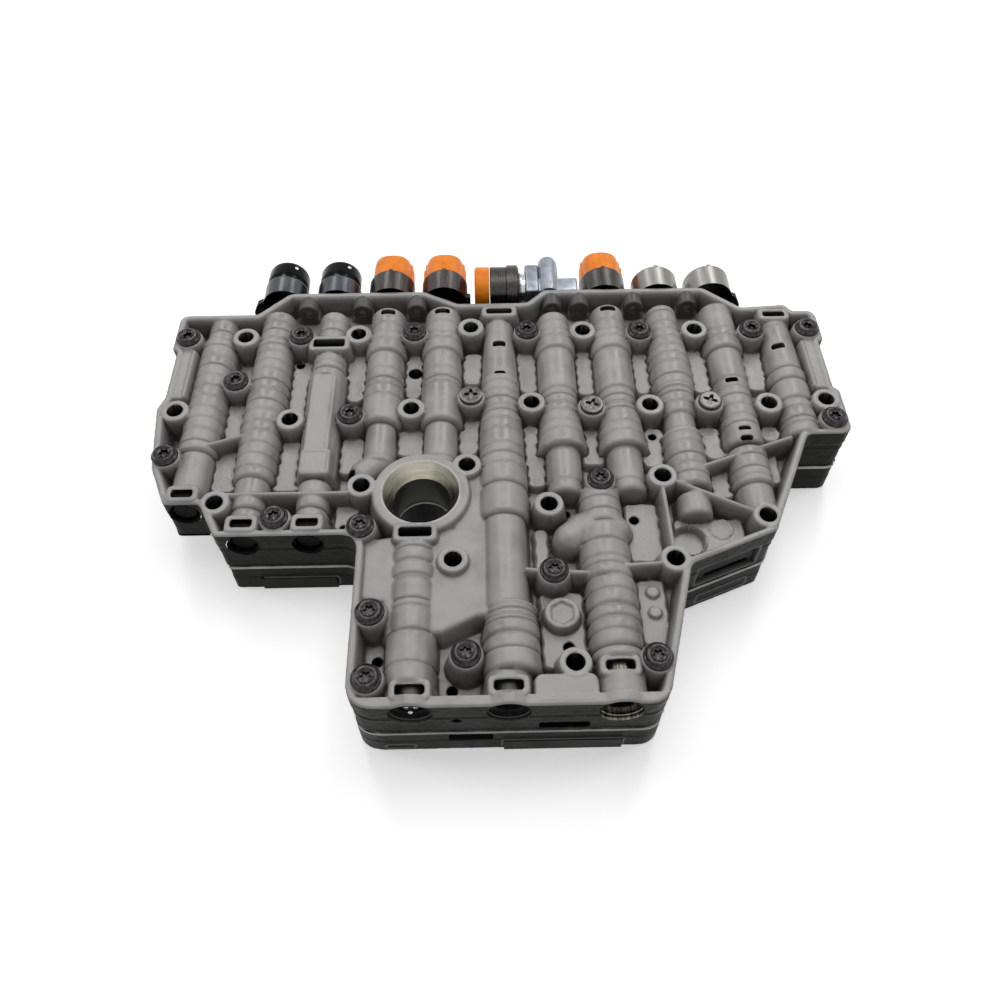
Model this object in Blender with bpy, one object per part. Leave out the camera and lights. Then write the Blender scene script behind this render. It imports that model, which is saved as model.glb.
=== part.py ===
"""A transmission mechatronic unit: valve castings, solenoids, screws and sliding spool valves.

X runs along the row of valve bores, Y from the front wall to the solenoids, and Z up from the
underside. Y = 0 is the datum that the places along the bores are measured from.
"""
import math

import bmesh
import bpy
from mathutils import Matrix, Vector

MM = 0.001

# Grid of the bores, with the screws half way between them
COLUMN_PITCH = 28.0 * MM

# Stack of castings, from the underside up
LOWER_HEIGHT = 16.1 * MM
PLATE_THICK = 1.3 * MM
UPPER_HEIGHT = 25.0 * MM
SEAT_GAP = 0.3 * MM
OVERSHOOT = 5.0 * MM
UPPER_BASE = LOWER_HEIGHT + PLATE_THICK + 2 * SEAT_GAP
DECK = UPPER_BASE + UPPER_HEIGHT

# Walls of the outline, as places along Y
BACK_WALL = 129.8 * MM
BACK_STEP = 114.5 * MM
BACK_NOTCH = 120.3 * MM
MID_WALL = -20.5 * MM
LOBE_WALL = -3.5 * MM
FRONT_WALL = -98.7 * MM
SIDE_MARGIN = 7.0 * MM
SIDE_RELIEF = 2.6 * MM
RIM_WALL = 3.0 * MM
SMALL_FILLET = 4.5 * MM

# Depths below the deck
FLOOR_DEPTH = 15.0 * MM
WEB_DEPTH = 9.0 * MM
PLATEAU_DEPTH = 3.0 * MM
BORE_DEPTH = 8.0 * MM
ROOT = 2.0 * MM

# Rings cast round the bores
RING_PITCH = 9.6 * MM
RING_DEPTH = 0.9 * MM
SHOULDER = 1.4 * MM
ARCH_STEPS = 4
ARCH_SEAT = 0.2 * MM

# Screws and mounting holes
HOLE_RADIUS = 3.6 * MM
HOLE_BOSS_RADIUS = 6.3 * MM
SCREW_BOSS_RADIUS = 6.6 * MM
SCREW_RADIUS = 2.5 * MM
SCREW_CLEARANCE = 0.3 * MM
HIDDEN_CLEARANCE = 0.7 * MM
SCREW_DEPTH = 8.0 * MM
FLANGE_RADIUS = 5.6 * MM
FLANGE_THICK = 1.5 * MM
HEAD_RADIUS = 4.0 * MM
HEAD_HEIGHT = 4.2 * MM
SOCKET_RADIUS = 2.4 * MM
SOCKET_DEPTH = 2.0 * MM
PLUG_SCREW_RADIUS = 5.2 * MM
PLUG_SCREW_HEIGHT = 2.4 * MM
PLUG_SCREW_DEPTH = 9.0 * MM
ROUND_SIDES = 10
BOSS_SIDES = 8
HOLE_SIDES = 8
MOUTH_SIDES = 14
HIDDEN_SIDES = 6
SHANK_SIDES = 8

# Large machined bore through all three castings
MAIN_BORE_Y = 1.0 * MM
MAIN_BORE_SHIFT = -8.0 * MM
MAIN_BOSS_RADIUS = 21.3 * MM
MAIN_CONE_RADIUS = 16.8 * MM
MAIN_BORE_RADIUS = 12.6 * MM
MAIN_CONE_DEPTH = 7.7 * MM
MAIN_SIDES = 24

# Valve trains in the bores whose mouths are open
SEAT_RADIUS = 6.0 * MM
SPOOL_BORE_RADIUS = 5.0 * MM
MOUTH_RADIUS = 8.3 * MM
MOUTH_DEPTH = 4.0 * MM
RUNNING_GAP = 0.3 * MM
PLUG_LENGTH = 7.2 * MM
SPRING_LENGTH = 14.0 * MM
SPRING_TURNS = 3.5
WIRE_RADIUS = 0.55 * MM
SPOOL_LENGTH = 30.0 * MM
SPOOL_STEM_RADIUS = 2.8 * MM
SPOOL_LANDS = 3
LAND_LENGTH = 6.0 * MM
CLIP_WIDTH = 8.6 * MM
CLIP_THICK = 2.4 * MM
CLIP_TOP_DEPTH = 1.6 * MM
POCKET_CLEARANCE = 0.4 * MM
POCKET_RIM = 2.2 * MM
POCKET_RISE = 0.8 * MM

# Solenoids and the bracket that they stand in
CAN_RADIUS = 12.2 * MM
DARK_CAN_RADIUS = 11.5 * MM
DARK_CAP_RADIUS = 10.9 * MM
CAN_DEPTH = 10.0 * MM
CAN_END = 144.4 * MM
DARK_CAN_END = 142.0 * MM
CAN_WALL = 2.8 * MM
CAP_RADIUS = 10.3 * MM
CAP_END = 159.6 * MM
DARK_CAP_END = 154.8 * MM
CAP_LUG_END = 154.0 * MM
CAP_LUG_WIDTH = 6.4 * MM
CAP_SPIGOT = 3.0 * MM
CAP_EDGE = 1.5 * MM
CROSS_CAN_Y = 141.4 * MM
CROSS_CAP_LENGTH = 7.8 * MM
CROSS_CAN_LENGTH = 15.2 * MM
SPIGOT_LENGTH = 3.0 * MM
VALVE_BLOCK_LENGTH = 6.8 * MM
VALVE_BLOCK_REACH = 10.4 * MM
VALVE_COLUMN_WIDTH = 11.2 * MM
VALVE_COLUMN_HEIGHT = 22.0 * MM
VALVE_STUB_LENGTH = 9.4 * MM
VALVE_STUB_HEIGHT = 10.0 * MM
VALVE_LOW = 9.0 * MM
BRACKET_THICK = 3.0 * MM
BRACKET_TOP_DEPTH = 5.0 * MM
BRACKET_HEIGHT = 22.0 * MM
BRACKET_MARGIN = 4.6 * MM
BRACKET_STRAP = 3.4 * MM
BRACKET_SHOULDER = 8.0 * MM
BRACKET_LEFT_LIP = 1.5 * MM
BRACKET_RIGHT_LIP = 0.6 * MM
CAN_SIDES = 14

# Outline corners as column, offset from it in mm, place along Y, fillet in mm
OUTLINE_BACK = (
    (-5.5, -7.0, BACK_STEP, 5), (-4.5, 3.5, BACK_STEP, 3), (-3.5, -9.5, BACK_WALL, 6),
    (-1.5, 4.0, BACK_WALL, 6), (-0.5, -6.5, BACK_NOTCH, 5), (0.5, 0.5, BACK_NOTCH, 5),
    (0.5, 10.0, BACK_WALL, 6), (3.5, 8.5, BACK_WALL, 6), (4.5, -2.0, BACK_STEP, 4),
    (5.5, -7.0, BACK_STEP + 1.6 * MM, 4), (5.5, -4.5, 111.4 * MM, 2), (5.5, 7.0, 111.4 * MM, 6),
)
OUTLINE_RIGHT = (
    (5.5, 7.0, 91.0 * MM, 1), (5.5, 4.4, 89.0 * MM, 1), (5.5, 4.4, 59.0 * MM, 1),
    (5.5, 7.0, 56.0 * MM, 2), (5.5, 7.0, 30.0 * MM, 6), (5.0, 0.0, 30.0 * MM, 4),
    (4.0, 3.5, -22.5 * MM, 4), (2.5, 7.0, -38.0 * MM, 5), (2.0, 4.0, FRONT_WALL, 10),
)
OUTLINE_LEFT = (
    (-2.0, -6.0, FRONT_WALL, 12), (-2.0, -6.2, MID_WALL, 8), (-4.5, 3.0, MID_WALL, 3),
)
LOBE = ((-4.5, -5.8, LOBE_WALL, 3), (-5.5, 6.5, LOBE_WALL, 3), (-5.5, -2.4, 17.0 * MM, 6))
LOWER_LOBE = ((-4.5, 0.0, 4.0 * MM, 4), (-5.5, 0.0, 26.0 * MM, 4))
OUTLINE_SIDE = (
    (-5.5, -7.0, 52.0 * MM, 4), (-5.5, -4.4, 59.0 * MM, 1), (-5.5, -4.4, 89.0 * MM, 1),
    (-5.5, -7.0, 91.0 * MM, 1),
)

# Bore housings: column, then runs of back end, front end and radius in mm and whether it is ringed
BORE_HOUSINGS = (
    (-5, ((113, 97, 7.4, True), (97, 27, 9.2, True), (27, -3, 7.6, False))),
    (-4, ((117, 98, 8.2, True), (98, 42, 9.7, True), (42, 10, 9.2, True), (10, -20, 7.4, False))),
    (-3, ((117, 97, 7.0, True), (86, 76, 8.2, True), (76, 11, 9.0, True), (10, -20, 7.2, False))),
    (-2, ((117, 100, 8.2, False), (100, 88, 8.6, True), (87, 43, 8.4, True), (43, 21, 5.4, False))),
    (-1, ((117, 100, 8.6, False), (100, 88, 9.2, True), (87, 42, 9.4, True), (42, 18, 6.4, False))),
    (0, ((108, 70, 7.2, False), (70, 22, 8.8, True), (22, -11, 10.6, False),
         (-11, -55, 9.4, False), (-55, -66, 9.6, True), (-66, -83, 9.4, True),
         (-83, -98, 9.6, False))),
    (1, ((113, 100, 7.6, False), (100, 88, 9.0, True), (87, 52, 8.4, False),
         (52, 44, 7.6, False), (44, 26, 10.2, True), (26, 1, 6.6, False))),
    (2, ((117, 100, 7.6, False), (100, 87, 9.0, True), (86, 52, 8.6, False),
         (52, 46, 7.6, False), (46, 25, 10.2, True), (25, 1, 6.2, False))),
    (3, ((118, 88, 7.0, True), (88, 47, 9.6, True), (47, 37, 5.2, False), (37, 3, 9.6, True),
         (-2, -10, 6.6, False))),
    (4, ((118, 100, 8.2, False), (100, 87, 8.8, True), (86, 64, 8.0, False), (60, 26, 8.8, True),
         (24, 3, 9.2, True), (3, -12, 7.8, False))),
    (5, ((102, 72, 7.2, False), (72, 55, 8.4, True), (55, 31, 9.4, True))),
)
# Two front bores lie off the columns: place along X in mm, then the same runs
FRONT_HOUSINGS = (
    (-37.5, ((-24, -41, 9.0, True), (-41, -66, 8.6, False), (-66, -89, 8.6, False),
             (-89, -98, 9.6, False))),
    (43.0, ((2, -16, 8.2, True), (-16, -25, 9.4, False), (-25, -43, 9.8, True),
            (-43, -63, 9.4, True), (-63, -80, 9.0, True), (-80, -98, 9.4, False))),
)

# Screws, plug screws and mounting holes: column, offset from it in mm, place along Y in mm
SCREWS = (
    (-5.5, 0, 97.4), (-3.5, 0, 97.4), (-1.5, 0, 98.8), (0.5, 0, 98.8), (2.5, 0, 97.4),
    (4.5, 0, 97.0), (5.5, 0, 97.4), (-4.5, 0, 67.5), (-2.5, 0, 45.3), (-3.5, 0, -12.0),
    (-2.0, -5.0, -17.2), (-2.0, 1.6, -58.6), (-2.0, 2.0, -87.0), (-0.5, -2.2, -77.5),
    (0.5, 5.9, -40.8), (1.5, 0.8, 5.5), (2.0, 1.6, -80.4), (-5.5, 2.8, 22.8), (5.5, 0, 38.4),
)
PLUG_SCREWS = ((-0.5, 0, 55.4), (1.5, 0.5, 48.2), (3.5, 0, 49.6))
MOUNTING_HOLES = (
    (-4.5, 0, 98.2), (-2.5, 0, 99.2), (-0.5, 0, 102.8), (1.5, 0, 99.6), (3.5, 0, 99.0),
    (-5.5, 1.7, 50.4), (-3.5, 0, 44.0), (-1.5, 0, 49.4), (0.5, 0.5, 52.1), (2.5, 0, 49.4),
    (4.5, 0, 49.2), (5.5, -0.7, 50.9), (-2.0, -6.3, 5.1), (-0.5, -1.9, 15.6), (0.5, 5.6, -6.6),
    (2.5, 0.7, 7.7), (4.0, 1.1, -14.6), (-4.5, 0.7, -2.9), (-1.0, 6.3, -33.9), (2.5, 0.7, -35.4),
    (1.0, -2.1, -81.3),
)

# Valve trains: name, column, offset in mm, wall that the mouth is in, retainer's place along Y in mm
VALVES = (
    ("left", -5, 0, LOBE_WALL, 1.8), ("second", -4, 0, MID_WALL, -14.5),
    ("third", -3, 0, MID_WALL, -14.5), ("front_left", -1, -9.5, FRONT_WALL, -91.6),
    ("front_middle", 0, 0, FRONT_WALL, -90.5), ("front_right", 2, -13.0, FRONT_WALL, -83.2),
)
# Pockets with a raised rim over bores that are closed: column, offset, place, width, length in mm
CLOSED_POCKETS = (
    (0, 0.4, 113.6, 13.0, 3.6), (5, -0.6, 108.2, 11.0, 3.4), (-3, 1.2, 93.7, 11.6, 4.4),
    (-1, -9.8, -20.4, 14.0, 4.8),
)
# Small notches in the bore housings: column, offset, place, width, length in mm
NOTCHES = (
    (-2, 0, 114.4, 7.4, 3.2), (-1, -0.4, 114.2, 7.8, 3.2), (2, 0, 114.6, 7.8, 3.2),
    (0, 0, 91.2, 6.6, 3.4), (5, -2.2, 86.4, 6.2, 3.4), (4, -1.2, 64.0, 6.0, 3.2),
)
# Raised webs between the bore housings: column, front and back end in mm
WEBS = (
    (-4.5, 40, 63), (-4.5, 10, 31), (-3.5, 52, 87), (-3.5, 10, 37), (-2.5, 63, 93), (-2.5, 19, 37),
    (-1.5, 64, 93), (-1.5, 29, 44), (-0.5, 73, 91), (-0.5, 29, 51), (0.5, 67, 92), (0.5, 10, 43),
    (1.5, 65, 92), (1.5, 22, 41), (2.5, 65, 91), (2.5, 20, 40), (3.5, 65, 91), (3.5, 24, 40),
    (3.5, 2, 15), (4.5, 66, 91), (4.5, 34, 40),
)
WEB_WIDTH = 20.0 * MM
# Thin ribs up to the deck: start and end on X and Y in mm
RIBS = (
    (-132, 32, -118, 41), (-122, 1.7, -68, 1.7), (91, 13.5, 132, 28.5), (75, 5.5, 110, -13), (70, 4, 70.6, -34),
    (50, -38, 68, -37), (9, -39, 16, -40), (24, -40.5, 33, -41), (14.4, -12, 14.4, -36),
    (20.4, -12, 20.4, -36), (74, -37, 90, -31),
)
RIB_THICK = 2.2 * MM
# Cross drillings seen in the webs: place on X and Y and radius in mm
DRILLINGS = (
    (-98, 80, 2.3), (-41.6, 79.5, 3.4), (57, -10.5, 2.2), (-52, -74, 2.3),
)
DRILLING_DEPTH = 9.0 * MM
# Bosses on the back wall, with their axis along Y: column
WALL_BOSSES = (-3.5, -2.5, -1.5, 1, 1.5, 2.5, 3.5)
WALL_BOSS_RADIUS = 5.2 * MM
WALL_BOSS_LENGTH = 10.0 * MM
WALL_BOSS_DEPTH = 5.6 * MM
# Channels in the underside: start and end on X and Y, and width in mm
CHANNELS = (
    (-130, 108, -60, 108, 7), (84, 108, 140, 108, 7), (-112, 84, -112, 14, 8), (-84, 84, -84, 58, 8),
    (-56, 84, -56, 60, 8), (0, 84, 0, 28, 8), (56, 84, 56, 66, 8), (56, 40, 56, -20, 8),
    (84, 84, 84, 14, 8), (112, 84, 112, 4, 8), (-38, -40, -38, -78, 8), (40, -40, 40, -84, 8),
)
CHANNEL_DEPTH = 6.0 * MM
# Ledges on the walls of the lower casting and the recess beside them: start, end on X in mm
FRONT_LEDGE = (-2, 46)
MID_LEDGE = (-110, -76)
FRONT_RECESS = (-24, -6)
RECESS_DEPTH = 5.0 * MM
RECESS_LOW = 8.8 * MM
RECESS_HEIGHT = 5.8 * MM
LEDGE_HEIGHT = 8.5 * MM
LEDGE_RISE = 0.8 * MM
WALL_SLOT = (12, 32)
WALL_SLOT_DEPTH = 9.0 * MM
WALL_SLOT_RISE = 1.6 * MM
WALL_SLOT_HEIGHT = 5.0 * MM

# Label pad on the third bore and machined pads
LABEL_PAD = (-90.6, 12.0, -77.4, 76.0)
LABEL_PAD_DEPTH = 0.4 * MM
FRONT_PAD = (10.0, -97.0, 34.0, -86.0)
SKIRT = (25.0, -24.5, 54.0, -18.0)
SKIRT_DEPTH = 3.0 * MM
PLATEAU = (
    (-61, -22), (-22, -16), (-22, 20), (-8, 20), (-8, -12), (8, -12), (8, -57), (-12, -59),
    (-26, -66), (-48, -66), (-50, -52), (-61, -50),
)
LOW_PADS = (
    (49, -32, 66, -2), (8, -69, 36, -48), (50, -72, 63.5, -42), (74, -31, 104, -11),
    (-74, -13, -64, 0), (116, 8, 126, 25),
)
HEX_BOSS = (22.4, -58.0)
HEX_BOSS_RADIUS = 7.3 * MM
HEX_RECESS_RADIUS = 5.6 * MM
ROUND_RECESS = (79.5, -22.0)
ROUND_RECESS_RADIUS = 6.8 * MM
LOCATING_PINS = ((59.0, -47.6), (59.0, -56.4))
PIN_RADIUS = 2.5 * MM


def column(number, offset=0.0):
    """Place along X of a column, with an offset in millimetres."""
    return number * COLUMN_PITCH + offset * MM


def clear_scene():
    for item in list(bpy.data.objects):
        bpy.data.objects.remove(item, do_unlink=True)


def material(name, colour, roughness, metallic):
    """A plain Principled BSDF material."""
    result = bpy.data.materials.get(name)
    if result is None:
        result = bpy.data.materials.new(name)
        result.use_nodes = True
        shader = result.node_tree.nodes["Principled BSDF"]
        shader.inputs["Base Color"].default_value = (*colour, 1.0)
        shader.inputs["Roughness"].default_value = roughness
        shader.inputs["Metallic"].default_value = metallic
    return result


def cast_aluminium():
    return material("cast_aluminium", (0.38, 0.37, 0.35), 0.5, 0.8)


def sheet_steel():
    return material("sheet_steel", (0.45, 0.46, 0.47), 0.35, 1.0)


def black_oxide():
    return material("black_oxide", (0.02, 0.02, 0.024), 0.35, 0.9)


def dark_steel():
    return material("dark_steel", (0.18, 0.17, 0.16), 0.4, 0.9)


def turned_steel():
    return material("turned_steel", (0.55, 0.55, 0.56), 0.2, 1.0)


def bright_casting():
    return material("bright_casting", (0.5, 0.53, 0.57), 0.3, 1.0)


def orange_plastic():
    return material("orange_plastic", (0.9, 0.18, 0.01), 0.35, 0.0)


def black_plastic():
    return material("black_plastic", (0.01, 0.01, 0.012), 0.25, 0.0)


def mesh_object(name, bm, finish=None):
    """Turn a bmesh into an object in the scene."""
    bmesh.ops.recalc_face_normals(bm, faces=bm.faces)
    mesh = bpy.data.meshes.new(name)
    bm.to_mesh(mesh)
    bm.free()
    if finish is not None:
        mesh.materials.append(finish)
    result = bpy.data.objects.new(name, mesh)
    bpy.context.scene.collection.objects.link(result)
    return result


def prism(points, low, high, name="tool"):
    """An upright prism over an outline of X and Y places."""
    bm = bmesh.new()
    bottom = [bm.verts.new((x, y, low)) for x, y in points]
    top = [bm.verts.new((x, y, high)) for x, y in points]
    bm.faces.new(bottom)
    bm.faces.new(top)
    for i in range(len(points)):
        j = (i + 1) % len(points)
        bm.faces.new((bottom[i], bottom[j], top[j], top[i]))
    return mesh_object(name, bm)


def block(x0, y0, x1, y1, low, high, name="tool"):
    """An upright block between two corners."""
    return prism(((x0, y0), (x1, y0), (x1, y1), (x0, y1)), low, high, name)


def ring_points(x, y, radius, sides):
    """Points round a circle, starting half a side from the X axis."""
    turn = 2 * math.pi / sides
    return [(x + radius * math.cos((i + 0.5) * turn), y + radius * math.sin((i + 0.5) * turn))
            for i in range(sides)]


def disc(x, y, radius, low, high, sides=BOSS_SIDES, name="tool"):
    """An upright cylinder."""
    return prism(ring_points(x, y, radius, sides), low, high, name)


def slot_points(x, y, width, length, radius, steps=1):
    """A rounded rectangle's points."""
    points = []
    for i, (sx, sy) in enumerate(((1, 1), (-1, 1), (-1, -1), (1, -1))):
        cx = x + sx * (width / 2 - radius)
        cy = y + sy * (length / 2 - radius)
        for step in range(steps + 1):
            angle = (i + step / steps) * math.pi / 2
            points.append((cx + radius * math.cos(angle), cy + radius * math.sin(angle)))
    return points


def revolve(profile, sides, axis, place, name="tool", finish=None):
    """A solid turned about an axis through place, from (along, radius) points."""
    bm = bmesh.new()
    rings = []
    for along, radius in profile:
        if radius == 0:
            rings.append([bm.verts.new((0, 0, along))])
            continue
        points = ring_points(0, 0, radius, sides)
        rings.append([bm.verts.new((x, y, along)) for x, y in points])
    for lower, upper in zip(rings, rings[1:]):
        for i in range(sides):
            j = (i + 1) % sides
            corners = [lower[i % len(lower)], lower[j % len(lower)], upper[j % len(upper)],
                       upper[i % len(upper)]]
            unique = list(dict.fromkeys(corners))
            bm.faces.new(unique)
    for end in (rings[0], rings[-1]):
        if len(end) > 1:
            bm.faces.new(end)
    turn = Vector((0, 0, 1)).rotation_difference(Vector(axis)).to_matrix().to_4x4()
    bm.transform(Matrix.Translation(place) @ turn)
    return mesh_object(name, bm, finish)


def boolean(body, tools, operation):
    """Cut or join several tools in one step, and remove them."""
    group = bpy.data.collections.new("tools")
    bpy.context.scene.collection.children.link(group)
    for tool in tools:
        bpy.context.scene.collection.objects.unlink(tool)
        group.objects.link(tool)
    modifier = body.modifiers.new("combine", "BOOLEAN")
    modifier.operation = operation
    modifier.operand_type = "COLLECTION"
    modifier.collection = group
    graph = bpy.context.evaluated_depsgraph_get()
    mesh = bpy.data.meshes.new_from_object(body.evaluated_get(graph))
    body.modifiers.clear()
    body.data = mesh
    for tool in tools:
        bpy.data.objects.remove(tool, do_unlink=True)
    bpy.data.collections.remove(group)
    return body


def finish_object(body, name, finish):
    """Name a body, weld it and give it its material."""
    bm = bmesh.new()
    bm.from_mesh(body.data)
    bmesh.ops.remove_doubles(bm, verts=bm.verts, dist=0.00001)
    bmesh.ops.dissolve_limit(bm, angle_limit=math.radians(0.5), verts=bm.verts, edges=bm.edges)
    bmesh.ops.triangulate(bm, faces=bm.faces)
    bm.to_mesh(body.data)
    bm.free()
    body.name = name
    body.data.name = name
    body.data.materials.clear()
    body.data.materials.append(finish)
    return body


def corner_places(corners):
    return [(Vector((column(number, offset), y)), radius * MM) for number, offset, y, radius in corners]


def rounded_outline(corners, inset=0.0):
    """Points of an outline with filleted corners, moved inwards by inset."""
    places = corner_places(corners)
    count = len(places)
    moved = []
    for i in range(count):
        before, here, after = places[i - 1][0], places[i][0], places[(i + 1) % count][0]
        first, second = (here - before).normalized(), (after - here).normalized()
        inward_first = Vector((first.y, -first.x))
        inward_second = Vector((second.y, -second.x))
        bend = first.x * second.y - first.y * second.x
        middle = inward_first + inward_second
        offset = middle * (inset / (1 + inward_first.dot(inward_second)))
        radius = places[i][1] + (inset if bend > 0 else -inset)
        moved.append((here + offset, max(radius, 0.5 * MM)))
    points = []
    for i in range(count):
        before, (here, radius), after = moved[i - 1][0], moved[i], moved[(i + 1) % count][0]
        first, second = (here - before).normalized(), (after - here).normalized()
        half = first.angle(second) / 2
        reach = min(radius * math.tan(half), (here - before).length / 2.1, (after - here).length / 2.1)
        start, end = here - first * reach, here + second * reach
        steps = 2 if radius > SMALL_FILLET else 1
        for step in range(steps + 1):
            t = step / steps
            points.append(start * (1 - t) ** 2 + here * 2 * t * (1 - t) + end * t ** 2)
    return [(p.x, p.y) for p in points]


def bore_stations(runs):
    """Places along Y and radii of a bore housing, back to front."""
    stations = []
    for back, front, radius, ringed in runs:
        back, front, radius = back * MM, front * MM, radius * MM
        stations.append((back, radius - SHOULDER))
        if not ringed:
            stations += [(back - SHOULDER, radius), (front + SHOULDER, radius)]
        else:
            count = max(1, round((back - front) / RING_PITCH))
            pitch = (back - front) / count
            for i in range(count):
                stations.append((back - (i + 0.5) * pitch, radius))
                if i < count - 1:
                    stations.append((back - (i + 1) * pitch, radius - RING_DEPTH))
        stations.append((front, radius - SHOULDER))
    merged = []
    for y, radius in stations:
        if merged and abs(merged[-1][0] - y) < 0.05 * MM:
            merged[-1] = (y, max(merged[-1][1], radius))
        else:
            merged.append((y, radius))
    return merged


def bore_housing(x, runs):
    """A root with straight sides for each run, and on it an arch whose radius follows the rings."""
    axis = DECK - BORE_DEPTH
    forms = []
    for back, front, radius, ringed in runs:
        half = radius * MM + ARCH_SEAT
        forms.append(block(x - half, front * MM, x + half, back * MM, DECK - FLOOR_DEPTH - ROOT, axis))
    bm = bmesh.new()
    sections = []
    for y, radius in bore_stations(runs):
        arch = [(x + radius * math.cos(math.pi * i / ARCH_STEPS),
                 axis + radius * math.sin(math.pi * i / ARCH_STEPS)) for i in range(ARCH_STEPS + 1)]
        outline = [(x + radius, axis - ARCH_SEAT), *arch, (x - radius, axis - ARCH_SEAT)]
        sections.append([bm.verts.new((px, y, pz)) for px, pz in outline])
    for back, front in zip(sections, sections[1:]):
        for i in range(len(back)):
            j = (i + 1) % len(back)
            bm.faces.new((back[i], back[j], front[j], front[i]))
    bm.faces.new(sections[0])
    bm.faces.new(sections[-1])
    forms.append(mesh_object("tool", bm))
    return forms


def rib(x0, y0, x1, y1, low, high, thick):
    """A straight upright rib between two places."""
    start, end = Vector((x0, y0)), Vector((x1, y1))
    side = (end - start).normalized().orthogonal() * thick / 2
    corners = (start + side, end + side, end - side, start - side)
    return prism([(c.x, c.y) for c in corners], low, high)


def screw_places():
    return [(column(number, offset), y * MM) for number, offset, y in SCREWS]


def plug_screw_places():
    return [(column(number, offset), y * MM) for number, offset, y in PLUG_SCREWS]


def hole_places():
    return [(column(number, offset), y * MM) for number, offset, y in MOUNTING_HOLES]


def main_bore_place():
    return column(-1) + MAIN_BORE_SHIFT, MAIN_BORE_Y


def valve_places():
    """Name, X, mouth and retainer place of each open valve bore."""
    return [(name, column(number, offset), mouth, clip * MM) for name, number, offset, mouth, clip in VALVES]


def train_ends(clip):
    """Places along Y where the plug, the spring and the spool of a train start and end."""
    plug = (clip - PLUG_LENGTH / 2, clip + PLUG_LENGTH / 2)
    spring = (plug[1] + SEAT_GAP, plug[1] + SEAT_GAP + SPRING_LENGTH)
    spool = (spring[1] + SEAT_GAP, spring[1] + SEAT_GAP + SPOOL_LENGTH)
    return plug, spring, spool


def along_y(x, start, end, radius, sides, z):
    """A cylinder along Y."""
    return revolve(((start, radius), (end, radius)), sides, (0, 1, 0), (x, 0, z))


def housing_forms():
    """Everything that stands up from the floor of the upper casting."""
    floor = DECK - FLOOR_DEPTH
    low = floor - ROOT
    forms = []
    for number, runs in BORE_HOUSINGS:
        forms += bore_housing(column(number), runs)
    for place, runs in FRONT_HOUSINGS:
        forms += bore_housing(place * MM, runs)
    for x, y in hole_places():
        forms.append(disc(x, y, HOLE_BOSS_RADIUS, low, DECK))
    for x, y in screw_places() + plug_screw_places():
        forms.append(disc(x, y, SCREW_BOSS_RADIUS, low, DECK))
    for number, front, back in WEBS:
        x = column(number)
        forms.append(block(x - WEB_WIDTH / 2, front * MM, x + WEB_WIDTH / 2, back * MM, low, DECK - WEB_DEPTH))
    for x0, y0, x1, y1 in LOW_PADS:
        forms.append(block(x0 * MM, y0 * MM, x1 * MM, y1 * MM, low, DECK - WEB_DEPTH + 0.4 * MM))
    for x0, y0, x1, y1 in RIBS:
        forms.append(rib(x0 * MM, y0 * MM, x1 * MM, y1 * MM, low, DECK, RIB_THICK))
    forms.append(prism([(x * MM, y * MM) for x, y in PLATEAU], low, DECK - PLATEAU_DEPTH))
    x0, y0, x1, y1 = (value * MM for value in LABEL_PAD)
    forms.append(block(x0, y0, x1, y1, low, DECK - LABEL_PAD_DEPTH))
    x0, y0, x1, y1 = (value * MM for value in FRONT_PAD)
    forms.append(block(x0, y0, x1, y1, low, DECK))
    x0, y0, x1, y1 = (value * MM for value in SKIRT)
    forms.append(block(x0, y0, x1, y1, low, DECK - SKIRT_DEPTH))
    x, y = main_bore_place()
    forms.append(disc(x, y, MAIN_BOSS_RADIUS, low, DECK, MAIN_SIDES))
    for number in WALL_BOSSES:
        forms.append(along_y(column(number), BACK_WALL - WALL_BOSS_LENGTH, BACK_WALL - RIM_WALL / 2,
                             WALL_BOSS_RADIUS, BOSS_SIDES, DECK - WALL_BOSS_DEPTH))
    for number, offset, y, width, length in CLOSED_POCKETS:
        forms.append(pocket_rim(column(number, offset), y * MM, width * MM, length * MM))
    for name, x, mouth, clip in valve_places():
        forms.append(pocket_rim(x, clip, CLIP_WIDTH + 2 * POCKET_CLEARANCE, CLIP_THICK + 2 * POCKET_CLEARANCE))
    for name, x, mouth, clip in valve_places():
        if mouth == FRONT_WALL:
            forms.append(along_y(x, mouth - 0.4 * MM, mouth + RIM_WALL + 2 * MM, MOUTH_RADIUS + 1.5 * MM,
                                 MOUTH_SIDES, DECK - BORE_DEPTH + 0.6 * MM))
    x, y = (value * MM for value in HEX_BOSS)
    forms.append(disc(x, y, HEX_BOSS_RADIUS, low, DECK - 3.5 * MM, MOUTH_SIDES))
    for x, y in LOCATING_PINS:
        forms.append(disc(x * MM, y * MM, PIN_RADIUS, low, DECK - WEB_DEPTH + 2.4 * MM, HOLE_SIDES))
    for sign in (-1, 1):
        inner = sign * (column(5.5) - 4.0 * MM)
        outer = sign * (column(5.5) + SIDE_MARGIN - SIDE_RELIEF - 0.5 * MM)
        forms.append(block(min(inner, outer), 60 * MM, max(inner, outer), 88 * MM, low, DECK - 1.2 * MM))
    return forms


def pocket_rim(x, y, width, length):
    """The raised rim round a retainer pocket."""
    points = slot_points(x, y, width + 2 * POCKET_RIM, length + 2 * POCKET_RIM, 1.6 * MM)
    return prism(points, DECK - FLOOR_DEPTH - ROOT, DECK + POCKET_RISE)


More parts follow.
